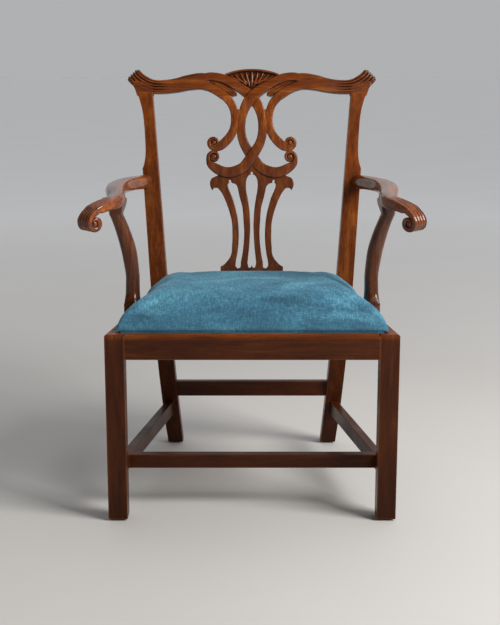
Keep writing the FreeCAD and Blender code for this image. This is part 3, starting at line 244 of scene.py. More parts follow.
def velvet():
    """Strié pile: slubs from front to back, crushed patches, painted shade low down on the pad, and a pale sheen."""
    material, tree, shader = new_material("strie_velvet")
    fine = cloud(tree, spot(tree, scale=(700.0, 60.0, 60.0)), 1.0, 3.0, 0.6)
    slubs = cloud(tree, spot(tree, scale=(260.0, 90.0, 90.0)), 1.0, 2.0, 0.5)
    ribs = cloud(tree, spot(tree, scale=(110.0, 700.0, 700.0)), 1.0, 2.0, 0.5)
    crushed = cloud(tree, spot(tree, scale=(1.0, 1.6, 1.6)), 7.0, 5.0, 0.62, 0.6)
    thread = arithmetic(tree, "ADD", arithmetic(tree, "MULTIPLY", fine, 0.55),
                        arithmetic(tree, "MULTIPLY", slubs, 0.45))
    thread = arithmetic(tree, "ADD", arithmetic(tree, "MULTIPLY", thread, 0.62),
                        arithmetic(tree, "MULTIPLY", ribs, 0.38))
    colour = ramp(tree, thread, (0.35, (0.018, 0.088, 0.150)), (0.50, (0.043, 0.172, 0.262)),
                  (0.65, (0.108, 0.325, 0.430)))
    patches = ramp(tree, crushed, (0.34, (0.42, 0.50, 0.55)), (0.50, (0.97, 0.98, 0.99)), (0.66, (1.8, 1.55, 1.42)))
    colour = blend_colours(tree, colour, patches, 1.0, "MULTIPLY")
    # painted shade: the velvet darkens towards the bottom of the pad, over the last 46 mm of height above the frame's
    # top
    low = add(tree, "ShaderNodeSeparateXYZ")
    link(tree, spot(tree), low.inputs[0])
    low_edge_shade = add(tree, "ShaderNodeMapRange")
    low_edge_shade.inputs["From Min"].default_value = PAD_EDGE
    low_edge_shade.inputs["From Max"].default_value = PAD_EDGE + 0.046
    low_edge_shade.inputs["To Min"].default_value = 0.58
    low_edge_shade.inputs["To Max"].default_value = 0.0
    link(tree, low.outputs["Z"], low_edge_shade.inputs["Value"])
    colour = blend_colours(tree, colour, (0.012, 0.060, 0.100, 1), low_edge_shade.outputs[0])
    link(tree, colour, shader.inputs["Base Color"])
    shader.inputs["Roughness"].default_value = 0.92
    shader.inputs["Sheen Weight"].default_value = 0.22
    shader.inputs["Sheen Roughness"].default_value = 0.38
    shader.inputs["Sheen Tint"].default_value = (0.42, 0.78, 0.92, 1)
    raised(tree, shader, thread, 0.0012)
    return material


def cloth_weave(name, light, dark, pitch, gap=0.5):
    """Plain weave of threads a pitch apart, in metres."""
    material, tree, shader = new_material(name)
    turns = math.tau / pitch
    where = add(tree, "ShaderNodeSeparateXYZ")
    link(tree, spot(tree), where.inputs[0])
    across = arithmetic(tree, "SINE", arithmetic(tree, "MULTIPLY", where.outputs["X"], turns), 0)
    ahead = arithmetic(tree, "SINE", arithmetic(tree, "MULTIPLY", where.outputs["Y"], turns), 0)
    over = arithmetic(tree, "MULTIPLY", across, ahead)
    over = arithmetic(tree, "ADD", arithmetic(tree, "MULTIPLY", over, 0.5), 0.5)
    mottle = cloud(tree, spot(tree), 60.0, 4.0)
    shade = arithmetic(tree, "ADD", arithmetic(tree, "MULTIPLY", over, gap), arithmetic(tree, "MULTIPLY", mottle, 0.5))
    link(tree, ramp(tree, shade, (0.2, dark), (0.75, light)), shader.inputs["Base Color"])
    shader.inputs["Roughness"].default_value = 0.95
    raised(tree, shader, over, pitch * 0.4)
    return material


def steel(name, colour, rough):
    material, tree, shader = new_material(name)
    tarnish = cloud(tree, spot(tree), 900.0, 4.0)
    link(tree, ramp(tree, tarnish, (0.35, colour), (0.75, tuple(0.35 * c for c in colour))),
         shader.inputs["Base Color"])
    shader.inputs["Metallic"].default_value = 1.0
    shader.inputs["Roughness"].default_value = rough
    raised(tree, shader, tarnish, 0.0001)
    return material


VELVET = velvet()
HESSIAN = cloth_weave("hessian_weave", (0.42, 0.30, 0.17), (0.17, 0.11, 0.055), 0.0024)
WEBBING = cloth_weave("jute_webbing", (0.50, 0.38, 0.22), (0.20, 0.13, 0.06), 0.0016)
FELT = cloth_weave("dark_felt", (0.045, 0.040, 0.038), (0.012, 0.011, 0.010), 0.0012)
SCREW_STEEL = steel("slotted_screw_steel", (0.30, 0.28, 0.26), 0.42)
TACK_STEEL = steel("blued_tack_steel", (0.10, 0.11, 0.13), 0.38)

# ---------------------------------------------------------------- pieces and meshes


def paint(piece, material):
    piece.data.materials.clear()
    piece.data.materials.append(material)


def settle(piece, material, slot_name, body, *nodes):
    """Gives a finished piece its material and its body, and hides the nodes it stands for; the slot name is not used.
    """
    paint(piece, material)
    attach(piece, body)
    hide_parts(*nodes)
    return piece


def new_piece(name, mesh):
    piece = bpy.data.objects.new(name, mesh)
    bpy.context.scene.collection.objects.link(piece)
    return piece


def shade(mesh, crease=math.radians(32)):
    mesh.shade_smooth()
    mesh.set_sharp_from_angle(angle=crease)


def with_modifiers(piece):
    """The piece's mesh as its modifiers leave it."""
    graph = bpy.context.evaluated_depsgraph_get()
    return bpy.data.meshes.new_from_object(piece.evaluated_get(graph))


def even_normals(piece):
    """Lets the large faces keep their own normals, so a narrow rounding doesn't shade them."""
    weighted = piece.modifiers.new("weighted", "WEIGHTED_NORMAL")
    weighted.weight = 100
    weighted.keep_sharp = True
    piece.data = with_modifiers(piece)
    piece.modifiers.clear()
    return piece


def faces_out(face):
    """Whether a face looks forwards or out to its own side of the chair."""
    ahead = -face.normal.y
    outwards = face.normal.x * math.copysign(1, face.calc_center_median().x)
    return max(ahead, outwards) > 0.9


def eased(node, radius, least=0.02, top_radius=0.0):
    """A copy of a CAD node with its long outer edges rounded over, as a hand plane and long use leave them."""
    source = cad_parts[node]
    mesh = source.data.copy()
    mesh.name = node + "_eased"
    shape = bmesh.new()
    shape.from_mesh(mesh)
    bmesh.ops.remove_doubles(shape, verts=shape.verts, dist=0.00002)
    bmesh.ops.dissolve_limit(shape, angle_limit=math.radians(1.2), verts=shape.verts, edges=shape.edges)
    if top_radius:
        crest = max(v.co.z for v in shape.verts)
        outer = [e for e in shape.edges if min(v.co.z for v in e.verts) > crest - 0.1 * MM
                 and any(faces_out(face) for face in e.link_faces)]
        bmesh.ops.bevel(shape, geom=outer, offset=top_radius, segments=5, profile=0.5, affect="EDGES",
                        clamp_overlap=True)
    edges = [e for e in shape.edges if len(e.link_faces) == 2 and e.calc_length() > least
             and e.is_convex and e.calc_face_angle(0) > math.radians(35)]
    bmesh.ops.bevel(shape, geom=edges, offset=radius, segments=2, profile=0.5, affect="EDGES",
                    clamp_overlap=True)
    bmesh.ops.recalc_face_normals(shape, faces=shape.faces)
    shape.to_mesh(mesh)
    shape.free()
    shade(mesh)
    return new_piece(node + "_eased", mesh)


# ---------------------------------------------------------------- curves and skins


def smooth(stations, step):
    """Rows of (place, other values) on a soft curve through the stations, about a step apart."""
    rows = np.array(stations, float)
    gaps = np.linalg.norm(np.diff(rows[:, :2], axis=0), axis=1)
    if rows.shape[1] > 4:
        gaps = np.linalg.norm(np.diff(rows[:, :3], axis=0), axis=1)
    along = np.concatenate(([0.0], np.cumsum(gaps)))
    slopes = np.diff(rows, axis=0) / gaps[:, None]
    tangents = np.vstack((slopes[:1], (slopes[:-1] * gaps[1:, None] + slopes[1:] * gaps[:-1, None])
                          / (gaps[:-1] + gaps[1:])[:, None], slopes[-1:]))
    count = max(2, int(round(along[-1] / step)) + 1)
    result = []
    for distance in np.linspace(0, along[-1], count):
        i = min(int(np.searchsorted(along, distance, side="right")) - 1, len(gaps) - 1)
        g = gaps[i]
        q = (distance - along[i]) / g
        result.append((2 * q ** 3 - 3 * q ** 2 + 1) * rows[i] + (q ** 3 - 2 * q ** 2 + q) * g * tangents[i]
                      + (3 * q ** 2 - 2 * q ** 3) * rows[i + 1] + (q ** 3 - q ** 2) * g * tangents[i + 1])
    return np.array(result)


def skin(rings):
    """The points and faces of a closed skin through rings of equal length, capped at both ends."""
    size = len(rings[0])
    points = [tuple(p) for ring in rings for p in ring]
    faces = [(i * size + j, i * size + (j + 1) % size, (i + 1) * size + (j + 1) % size, (i + 1) * size + j)
             for i in range(len(rings) - 1) for j in range(size)]
    last = (len(rings) - 1) * size
    return points, faces + [tuple(reversed(range(size))), tuple(range(last, last + size))]


def mesh_of(name, skins, crease=math.radians(34)):
    """One mesh of several closed skins."""
    points, faces = [], []
    for some, around in skins:
        start = len(points)
        points += some
        faces += [tuple(start + v for v in face) for face in around]
    mesh = bpy.data.meshes.new(name)
    mesh.from_pydata(points, [], faces)
    shape = bmesh.new()
    shape.from_mesh(mesh)
    bmesh.ops.recalc_face_normals(shape, faces=shape.faces)
    shape.to_mesh(mesh)
    shape.free()
    shade(mesh, crease)
    return mesh


def mirrored(stations):
    return [(-row[0],) + tuple(row[1:]) for row in stations]


def ease(value, low, high):
    """0 below low, 1 above high and a soft step between."""
    q = min(1.0, max(0.0, (value - low) / (high - low)))
    return q * q * (3 - 2 * q)


# ---------------------------------------------------------------- the pierced back: straps, vase and crest

SPLAT_BACK = 11.0
CREST_BACK = 21.0
JOINT = JOINT_RISE / MM
ARC_STEPS = 4
REEDS = 4
REED_STEPS = 9


def rear_of(rise):
    """How far behind the face the back of the carving lies: the crest is thicker than the splat."""
    return SPLAT_BACK + (CREST_BACK - SPLAT_BACK) * ease(rise, JOINT - 0.5, JOINT + 0.5)


def strap_section(width, front, rear, edge, groove):
    """(across, behind, share of a reed) round a strap: rounded at the front, eased behind."""
    half = width / 2
    turn = min(edge, 0.44 * width)
    quarter = [math.pi / 2 * i / ARC_STEPS for i in range(ARC_STEPS + 1)]
    left = [(-half + turn * (1 - math.cos(q)), front + turn * (1 - math.sin(q)), 0.0) for q in quarter]
    right = [(-a, b, r) for a, b, r in reversed(left)]
    steps = REEDS * REED_STEPS if groove is not None else 2
    middle = []
    for i in range(1, steps):
        share = i / steps
        reed = abs(math.sin(math.pi * REEDS * share)) ** 0.6
        sunk = (groove or 0.0) * (1 - reed)
        middle.append((-half + turn + (width - 2 * turn) * share, front + sunk, reed))
    eased_back = [(half, rear - 1.0, 0.0), (half - 1.0, rear, 0.0), (1.0 - half, rear, 0.0), (-half, rear - 1.0, 0.0)]
    return left + middle + right + eased_back


def strap(stations, edge=2.6, groove=None, tip=0.0, rear=rear_of):
    """A carved strap on the leaning back, from stations of (across, rise, width, behind the face)."""
    run = smooth(stations, 2.4)
    headings = np.gradient(run[:, :2], axis=0)
    headings /= np.linalg.norm(headings, axis=1)[:, None]
    length = 2.4 * (len(run) - 1)
    rings = []
    for i, (x, rise, width, front) in enumerate(run):
        ahead, left = headings[i], np.array((-headings[i][1], headings[i][0]))
        left_over = length - 2.4 * i
        drop = 0.0
        if left_over < tip:
            drop = tip * (1 - math.sqrt(max(0.0, 1 - (1 - left_over / tip) ** 2)))
        depth = None if groove is None else groove(i / (len(run) - 1))
        back = max(rear(rise) - drop, front + drop + 3)
        reach = 0.5 * tip * ease(i, len(run) - 4, len(run) - 1)
        ring = []
        for across, behind, reed in strap_section(width - 0.3 * drop, front + drop, back, edge, depth):
            place = np.array((x, rise)) + left * across + ahead * reach * reed
            ring.append(on_back(place[0], place[1], behind))
        rings.append(ring)
    return skin(rings)


def spiral(centre, turns, outer, inner, level):
    """Stations of a strap that winds in round an eye, between an outer and an inner radius."""
    first, last = turns
    count = max(2, round(abs(last - first) / 30)) + 1
    rows = []
    for i in range(count):
        share = i / (count - 1)
        angle = math.radians(first + (last - first) * share)
        wide = outer[0] * (outer[1] / outer[0]) ** share
        near = inner[0] * (inner[1] / inner[0]) ** share
        radius = (wide + near) / 2
        rows.append((centre[0] + radius * math.cos(angle), centre[1] + radius * math.sin(angle), wide - near, level))
    return rows


def button(centre, radius, front, rear, bulge):
    """A round boss with a domed front, on the leaning back."""
    rings = []
    for share, behind in ((1.0, rear), (1.0, front + bulge), (0.92, front + 0.45 * bulge), (0.7, front + 0.12 * bulge),
                          (0.35, front)):
        rings.append([on_back(centre[0] + radius * share * math.cos(a), centre[1] + radius * share * math.sin(a), behind)
                      for a in np.linspace(0, math.tau, 28, endpoint=False)])
    return skin(rings)


UPPER_EYE = (93.0, 368.0)
LOWER_EYE = (93.0, 333.0)
OVER, UNDER = -1.3, 2.2
CROSSINGS = ((484.0, 34.0), (328.0, 30.0))

# across, rise, width
INNER_STRAP = [(140, 517, 16), (122, 524, 19), (104, 528.5, 20), (86, 527.5, 20.5), (66, 522, 21.5), (47, 512, 22),
               (26, 499.5, 24), (6, 484.5, 26), (-9, 467.5, 26), (-19, 448, 23), (-24.5, 424, 20), (-26, 405, 20.5),
               (-25, 386, 22), (-18.5, 364.5, 23), (-7, 345, 25), (6, 326, 26), (22, 307.5, 25), (41, 298, 26),
               (57, 295, 26), (72, 297.5, 25), (89.5, 306, 23), (103.8, 317.5, 15.5)]
OUTER_STRAP = [(146, 511, 16), (122, 508.5, 21), (102, 502.5, 20.5), (78, 489.5, 21.5), (62.5, 477.5, 21),
               (49.8, 461, 20), (43.5, 443, 19), (42.3, 425, 18), (43.2, 408, 19), (48, 392.5, 20.5),
               (57, 378.5, 21.5), (68, 367, 22), (80.5, 357.5, 20), (91.5, 352.8, 12.5)]


def crossing_level(rise, levels):
    """The strap's face rises or dips where it passes the other strap."""
    behind = 0.0
    for (middle, reach), level in zip(CROSSINGS, levels):
        behind += level * (1 - ease(abs(rise - middle), 0.45 * reach, reach))
    return behind


def inner_strap(levels):
    rows = [(x, rise, width, crossing_level(rise, levels)) for x, rise, width in INNER_STRAP]
    rows[0] = rows[0][:3] + (4.0,)
    return rows + spiral(LOWER_EYE, (-14, 345), (19.3, 9.6), (10.2, 4.6), 0.0)


def outer_strap():
    rows = [(x, rise, width, 0.0) for x, rise, width in OUTER_STRAP]
    rows[0] = rows[0][:3] + (4.0,)
    return rows + spiral(UPPER_EYE, (-52, 345), (18.4, 9.0), (8.6, 4.2), 0.0)


def pierced_plate(name, outlines, front, rear, soft_edge=1.4):
    """A flat carved plate on the leaning back, from closed outlines: the first is its edge and the rest its holes."""
    drawing = bpy.data.curves.new(name, "CURVE")
    drawing.dimensions = "2D"
    drawing.fill_mode = "BOTH"
    drawing.extrude = (rear - front) / 2 - soft_edge
    drawing.bevel_depth = soft_edge
    drawing.bevel_resolution = 2
    drawing.offset = -soft_edge
    for outline in outlines:
        line = drawing.splines.new("POLY")
        line.points.add(len(outline) - 1)
        for point, (x, rise) in zip(line.points, outline):
            point.co = (x, rise, 0, 1)
        line.use_cyclic_u = True
    holder = bpy.data.objects.new(name, drawing)
    mesh = bpy.data.meshes.new_from_object(holder)
    bpy.data.objects.remove(holder)
    middle = (front + rear) / 2
    points = [on_back(v.co.x, v.co.y, middle - v.co.z) for v in mesh.vertices]
    faces = [tuple(p.vertices) for p in mesh.polygons]
    bpy.data.meshes.remove(mesh)
    return points, faces


def drawn(*runs, step=2.0):
    """A closed outline of several soft runs that meet in corners, of (across, rise)."""
    outline = []
    for run in runs:
        points = smooth(run, step) if len(run) > 2 else np.array(run, float)
        outline += [tuple(p) for p in points[:-1]]
    return outline


def both_sides(run):
    """A run from its middle point outwards, and the same run mirrored before it."""
    return [(-x, rise) for x, rise in reversed(run[1:])] + list(run)


VASE_LEAF = [(60, 293), (88, 286), (99, 280), (103, 269), (101, 258), (97, 251)]
VASE_SIDE = [(97, 251), (94, 256), (85, 257), (77, 249), (68, 233), (60, 213), (53, 191), (49, 172), (48, 150),
             (48, 128), (49, 113), (50, 98), (55, 85), (62, 76), (70, 68), (77, 64)]
SLOT_EYE = [(51.3, 271.5), (50.8, 274.6), (53.5, 277.2), (56.3, 275.6), (56.2, 272.6), (55, 270.5)]
SLOT_OUTSIDE = [(55, 270.5), (58.5, 266.5), (58, 260), (55, 251), (48, 235), (41, 212), (36, 190), (33, 165),
                (32, 143), (33, 120), (36, 94), (39.5, 76), (39.5, 65), (35, 59.5)]
SLOT_INSIDE = [(35, 59.5), (30, 61), (27, 76), (24, 91), (21, 113), (19, 143), (20.5, 175), (24, 213), (30, 235),
               (34, 253), (36, 261), (42, 267.5), (49, 269.6), (51.3, 271.5)]
MIDDLE_EYE = [(0, 297.2), (2.4, 295.6), (2.6, 293), (1.8, 290.6)]
MIDDLE_SLOT = [(1.8, 290.6), (5, 289.5), (9, 286), (13, 278), (14.3, 266), (13.5, 252), (11, 238), (7, 213),
               (4.6, 185), (4, 160), (5, 135), (7, 106), (9.4, 84), (10, 70), (5.5, 61), (1.5, 64), (0, 69)]
SEAM = [(30, 447), (38, 452), (45, 443), (44, 425), (44.5, 408), (48, 394), (38, 390), (28, 392), (27, 408),
        (27, 425)]
NECK = [(240, 483), (281, 483), (286.5, 499), (293, 511), (284, 520), (244, 510)]
FOOT_LOW = 47.0


def vase():
    """The splat's lower part: four ribs that spread from the shoe to a leafed head."""
    edge = drawn([(0, 313), (60, 293)], VASE_LEAF, VASE_SIDE, [(77, 64), (77, FOOT_LOW)], [(77, FOOT_LOW), (-77, FOOT_LOW)],
                 [(-77, FOOT_LOW), (-77, 64)], mirrored(reversed(VASE_SIDE)), mirrored(reversed(VASE_LEAF)),
                 [(-60, 293), (0, 313)])
    slot = drawn(SLOT_EYE, SLOT_OUTSIDE, SLOT_INSIDE)
    middle = drawn(MIDDLE_EYE, MIDDLE_SLOT, mirrored(reversed(MIDDLE_SLOT)), mirrored(reversed(MIDDLE_EYE)))
    return pierced_plate("vase", [edge, slot, mirrored(slot), middle], 3.6, SPLAT_BACK)


# ---- the crest rail: two plain arms with reeded ears, a carved lunette and carved leaves between the straps

CREST_ARM = [(104, 517, 36, 5.0), (118, 517.5, 39.5, 0.4), (132, 517.5, 39, 0), (147, 515.5, 37.5, 0), (162, 513, 36, 0),
             (176, 509.3, 34.5, 0), (191, 506.5, 33.5, 0), (206, 504.5, 33, 0), (221, 503.6, 33, 0), (236, 503.8, 33.5, 0),
             (251, 506.5, 35, 0), (266, 513, 37, 0.4), (280, 522.5, 38, 1.4), (291.5, 534.6, 38.6, 3.0)]
REED_START, REED_FULL = 0.42, 0.70
LUNETTE_TOP = [(0, 547), (21, 546), (45, 542), (66, 535.5)]
LUNETTE_FLOOR = 8.0


def lens(start, end, width, level, bend=0.0):
    """Stations of a leaf: pointed at both ends, widest beyond its middle, and bent to one side."""
    (x0, s0), (x1, s1) = start, end
    rows = []
    for share in (0.0, 0.2, 0.45, 0.7, 0.9, 1.0):
        swell = math.sin(math.pi * share ** 0.85) ** 0.8 if 0 < share < 1 else 0.0
        side = bend * math.sin(math.pi * share)
        length = math.hypot(x1 - x0, s1 - s0)
        rows.append((x0 + (x1 - x0) * share - side * (s1 - s0) / length,
                     s0 + (s1 - s0) * share + side * (x1 - x0) / length,
                     1.6 + (width - 1.6) * swell, level + 1.6 * (1 - swell)))
    return rows


def lunette():
    """A sunk panel with a raised rim, a flower on its middle and leaves that fan from it."""
    floor_edge = drawn(both_sides([(0, 546), (21, 545), (45, 541), (66, 534.5)]),
                       [(66, 534.5), (45, 519), (21, 506), (0, 494)], [(0, 494), (-21, 506), (-45, 519), (-66, 534.5)])
    parts = [pierced_plate("lunette_floor", [floor_edge], LUNETTE_FLOOR, CREST_BACK, 0.8)]
    rim = [(x * 0.985, rise - 2.4, 4.8, 0.2) for x, rise in both_sides(LUNETTE_TOP)]
    parts.append(strap(rim, edge=1.6))
    parts.append(strap(lens((0, 503), (0, 541), 8.5, 1.8), edge=3.6))
    for side in (-1, 1):
        for start, end, width, bend in (((4, 508), (14, 540), 6.5, 2.0), ((9, 510), (28, 538.5), 6.5, 2.5),
                                        ((16, 513), (42, 535.5), 6.5, 3.0), ((25, 517), (54, 532.5), 6.0, 2.5),
                                        ((4, 503), (15, 517), 5.0, -1.5), ((14, 509), (33, 521), 5.0, -1.5)):
            rows = lens(start, end, width, 2.8, -bend)
            parts.append(strap(rows if side > 0 else mirrored(rows), edge=2.6))
    return parts


def carved_leaf(side):
    """The low leaf that fills the fork of two straps."""
    edge = drawn([(112, 521), (86, 519), (66, 510), (50, 500), (37, 490)], [(37, 490), (36, 485), (47, 480)],
                 [(47, 480), (59, 487), (74, 498), (93, 507), (112, 521)])
    veins = [lens((96, 514), (39, 487.5), 6.5, 2.6, 1.5), lens((90, 509), (46, 483.5), 6.0, 2.8, -1.0)]
    if side < 0:
        edge, veins = mirrored(edge), [mirrored(rows) for rows in veins]
    return [pierced_plate("fork_leaf", [edge], 5.4, CREST_BACK, 0.8)] + [strap(rows, edge=2.8) for rows in veins]


def reed_depth(share):
    return 3.6 * ease(share, REED_START, REED_FULL)


def cut_at_joint(name, mesh, keep_above):
    """One side of a mesh that crosses the joint between splat and crest, closed where it is cut."""
    shape = bmesh.new()
    shape.from_mesh(mesh)
    up = Vector((0, math.sin(LEAN), math.cos(LEAN)))
    gap = 0.12 if keep_above else -0.12
    whole = shape.verts[:] + shape.edges[:] + shape.faces[:]
    cut = bmesh.ops.bisect_plane(shape, geom=whole, dist=0.000001, plane_co=on_back(0, JOINT + gap), plane_no=up,
                                 clear_inner=keep_above, clear_outer=not keep_above)
    rim = [e for e in cut["geom_cut"] if isinstance(e, bmesh.types.BMEdge)]
    bmesh.ops.holes_fill(shape, edges=rim, sides=0)
    part = bpy.data.meshes.new(name)
    shape.to_mesh(part)
    shape.free()
    shade(part, math.radians(34))
    return part


def pierced_back():
    right = inner_strap((OVER, UNDER))
    left = mirrored(inner_strap((UNDER, OVER)))
    crossing = [strap(right), strap(left)]
    for side in (-1, 1):
        rows = outer_strap()
        crossing.append(strap(rows if side > 0 else mirrored(rows)))
    whole = mesh_of("straps", crossing)
    splat_parts = [vase()]
    crest_parts = lunette()
    for _, side in SIDES:
        splat_parts += [button((side * UPPER_EYE[0], UPPER_EYE[1]), 5.4, -1.6, SPLAT_BACK, 2.6),
                        button((side * UPPER_EYE[0], UPPER_EYE[1]), 11.5, 3.4, SPLAT_BACK, 0.6),
                        button((side * LOWER_EYE[0], LOWER_EYE[1]), 5.8, -1.6, SPLAT_BACK, 2.6),
                        button((side * LOWER_EYE[0], LOWER_EYE[1]), 12.5, 3.4, SPLAT_BACK, 0.6)]
        arm = CREST_ARM if side > 0 else mirrored(CREST_ARM)
        crest_parts.append(strap(arm, edge=3.6, groove=reed_depth, tip=7.0))
        neck = NECK if side > 0 else mirrored(NECK)
        crest_parts.append(pierced_plate("neck", [neck], 1.2, CREST_BACK))
        seam = SEAM if side > 0 else mirrored(SEAM)
        splat_parts.append(pierced_plate("seam", [seam], 0.15, SPLAT_BACK, 0.3))
        crest_parts += carved_leaf(side)
    for name, node, parts, above, run in (("carved_splat", "splat", splat_parts, False, "upright"),
                                          ("carved_crest", "crest_rail", crest_parts, True, "across")):
        piece = new_piece(name, mesh_of(name, parts))
        half = new_piece(name + "_straps", cut_at_joint(name, whole, above))
        with bpy.context.temp_override(active_object=piece, object=piece, selected_objects=[piece, half],
                                       selected_editable_objects=[piece, half]):
            bpy.ops.object.join()
        settle(piece, CARVED_RUNS[run], "mahogany", FRAME_BODY, node)
    bpy.data.meshes.remove(whole)


pierced_back()

# ---------------------------------------------------------------- arms and their supports

ARM_TOP = 698.05
GRIP_CENTRE = np.array((349.0, -164.0, 632.0))
GRIP_TURN = math.radians(50)
SCROLL_WIDTH = 46.0
LEG_FRONT = -284.0

# across, depth behind the front, drop of the top, turn outwards, width, height, corner radius, crown
ARM_STATIONS = [(253.9, 516, 0, 25, 24, 33, 11, 1.0), (263, 488, -0.5, 27, 29, 32.5, 11.5, 1.2),
                (284, 438, -2, 27, 38, 31, 12, 1.6), (307, 378, -1, 17, 46, 29, 11.5, 2.0),
                (313.5, 322, 2, 1, 47, 28, 11, 2.2), (308, 262.4, 6, -9, 40, 28, 10, 2.2),
                (299, 212, 10, -5, 35, 29, 9, 1.8), (302, 177, 13, 22, 34, 28, 8, 1.4),
                (316, 152, 17, 44, 38, 25, 6.5, 1.0), (334, 133, 25.5, 50, 46, 19.5, 4.5, 0.4)]
REED_GROOVE = 3.2
TOP_STEPS = 48


def bar_section(width, height, radius, crown, groove):
    """(across, up) round a bar with rounded corners, a crowned top and reeds cut into it."""
    half, tall = width / 2, height / 2
    radius = min(radius, 0.48 * width)
    rise = min(1.4 * radius, 0.48 * height)

    def corner(x, z, start):
        angles = [math.radians(start + 90 * i / 8) for i in range(9)]
        return [(x + radius * math.cos(angle), z + rise * math.sin(angle)) for angle in angles]

    top = []
    for i in range(1, TOP_STEPS):
        share = i / TOP_STEPS
        reed = abs(math.sin(math.pi * REEDS * share)) ** 0.8
        lift = crown * math.sin(math.pi * share) - groove * (1 - reed)
        top.append(((half - radius) * (1 - 2 * share), tall + lift))
    return (corner(half - radius, tall - rise, 0) + top + corner(radius - half, tall - rise, 90)
            + corner(radius - half, rise - tall, 180) + corner(half - radius, rise - tall, 270))


def scroll_stations():
    """The strip that rolls down and under the grip, as (angle, outer radius, inner radius) round its eye."""
    rows = []
    for angle, outer, inner in ((60, 21.5, 10.5), (30, 19, 9.2), (0, 18, 8.6), (-30, 18, 8.4), (-60, 18, 8.2),
                                (-90, 18, 8.0), (-120, 18, 7.8), (-150, 18, 7.6), (-180, 18, 7.4), (-210, 17.6, 7.2),
                                (-240, 15.6, 6.8), (-270, 12.2, 6.2), (-300, 10.2, 5.6), (-330, 9.2, 5.2)):
        around = math.radians(angle)
        radius = (outer + inner) / 2
        rows.append((radius * math.cos(around), radius * math.sin(around), outer - inner, around))
    return rows


def arm(side):
    """One arm: a rounded bar from the post round the elbow to the grip, whose reeded end rolls under in a scroll."""
    rings = []
    for x, depth, drop, turn, width, height, radius, crown in smooth(ARM_STATIONS, 3.0):
        around = math.radians(turn)
        outwards = Vector((math.cos(around), math.sin(around), 0))
        centre = Vector((x, LEG_FRONT + depth, ARM_TOP - drop - height / 2))
        groove = REED_GROOVE * ease(-depth, -172, -134)
        rings.append([centre + outwards * a + Vector((0, 0, up))
                      for a, up in bar_section(width, height, radius, crown, groove)])
    ahead = Vector((math.sin(GRIP_TURN), -math.cos(GRIP_TURN), 0))
    outwards = Vector((math.cos(GRIP_TURN), math.sin(GRIP_TURN), 0))
    middle = Vector(GRIP_CENTRE)
    strip = [(-9.0, 28.0, 13.5, math.radians(66))] + scroll_stations()
    for u, up, thick, around in smooth(strip, 2.0):
        away = ahead * math.cos(around) + Vector((0, 0, math.sin(around)))
        centre = middle + ahead * u + Vector((0, 0, up))
        rings.append([centre + outwards * a + away * b
                      for a, b in bar_section(SCROLL_WIDTH, thick, 2.4, 0.0, REED_GROOVE)])
    skins = [skin([[p * MM for p in ring] for ring in rings])]
    skins.append(grip_core(middle, ahead, outwards, 9.5, SCROLL_WIDTH / 2 - 2.8, 0.8))
    skins.append(grip_core(middle, ahead, outwards, 5.6, SCROLL_WIDTH / 2 + 0.6, 2.2))
    if side < 0:
        skins = [([(-x, y, z) for x, y, z in points], faces) for points, faces in skins]
    return mesh_of("arm", skins, math.radians(70))


def grip_core(middle, ahead, outwards, radius, reach, bulge):
    """A round core along the scroll's axis, domed at both ends."""
    profile = [(-reach, 0.3), (-reach + 0.2 * bulge, 0.7), (-reach + 0.5 * bulge, 0.93), (-reach + bulge, 1.0)]
    profile += [(-along, share) for along, share in reversed(profile)]
    rings = []
    for along, share in profile:
        rings.append([(middle + outwards * along + ahead * (radius * share * math.cos(a))
                       + Vector((0, 0, radius * share * math.sin(a)))) * MM
                      for a in np.linspace(0, math.tau, 32, endpoint=False)])
    return skin(rings)


# inset from the rail's outer face, depth, height, width, front to back, corner radius
SUPPORT_STATIONS = [(13.5, 203, 443.5, 27, 50, 2.5), (13.4, 203, 446, 27.5, 50, 4), (13.3, 204, 450, 28.5, 47, 7),
                    (13.35, 206, 457, 29.5, 42, 10), (13.3, 208, 478, 29.5, 37.5, 11), (13.2, 210, 502, 29.8, 36, 11.5),
                    (10, 211, 530, 32, 34.5, 12), (5, 212, 560, 34, 33, 12.5), (-2.5, 211, 590, 33, 33, 12.5),
                    (-10.5, 209, 616, 31, 34, 12), (-17, 207, 634, 29.5, 35, 11), (-19.5, 206, 641, 29, 36, 10),
                    (-18.5, 206, 648, 30, 41, 9), (-17.5, 208, 655, 31, 49, 8), (-17, 210, 663, 32, 55, 6),
                    (-17, 210, 673, 32, 58, 5)]


def support(side):
    """An arm support above its square base."""
    rings = []
    for inset, depth, height, width, length, radius in smooth(SUPPORT_STATIONS, 5.0):
        x = (310 - 62 * depth / 455) - inset / math.cos(SIDE_TURN)
        across = Vector((math.cos(SIDE_TURN), math.sin(SIDE_TURN), 0))
        back = Vector((-math.sin(SIDE_TURN), math.cos(SIDE_TURN), 0))
        centre = Vector((x, LEG_FRONT + depth, height))
        rings.append([(centre + across * a + back * b) * MM
                      for a, b in bar_section(width, length, radius, 0.0, 0.0)])
    points, faces = skin(rings)
    if side < 0:
        points = [(-x, y, z) for x, y, z in points]
    return mesh_of("support", [(points, faces)], math.radians(50))


def lower_part(node, height):
    """The eased lower part of a CAD node, up to a height."""
    base = eased(node, 1.4 * MM, least=0.006)
    shape = bmesh.new()
    shape.from_mesh(base.data)
    whole = shape.verts[:] + shape.edges[:] + shape.faces[:]
    cut = bmesh.ops.bisect_plane(shape, geom=whole, dist=0.000001, plane_co=(0, 0, height), plane_no=(0, 0, 1),
                                 clear_outer=True)
    bmesh.ops.holes_fill(shape, edges=[e for e in cut["geom_cut"] if isinstance(e, bmesh.types.BMEdge)], sides=0)
    shape.to_mesh(base.data)
    shape.free()
    return even_normals(base)


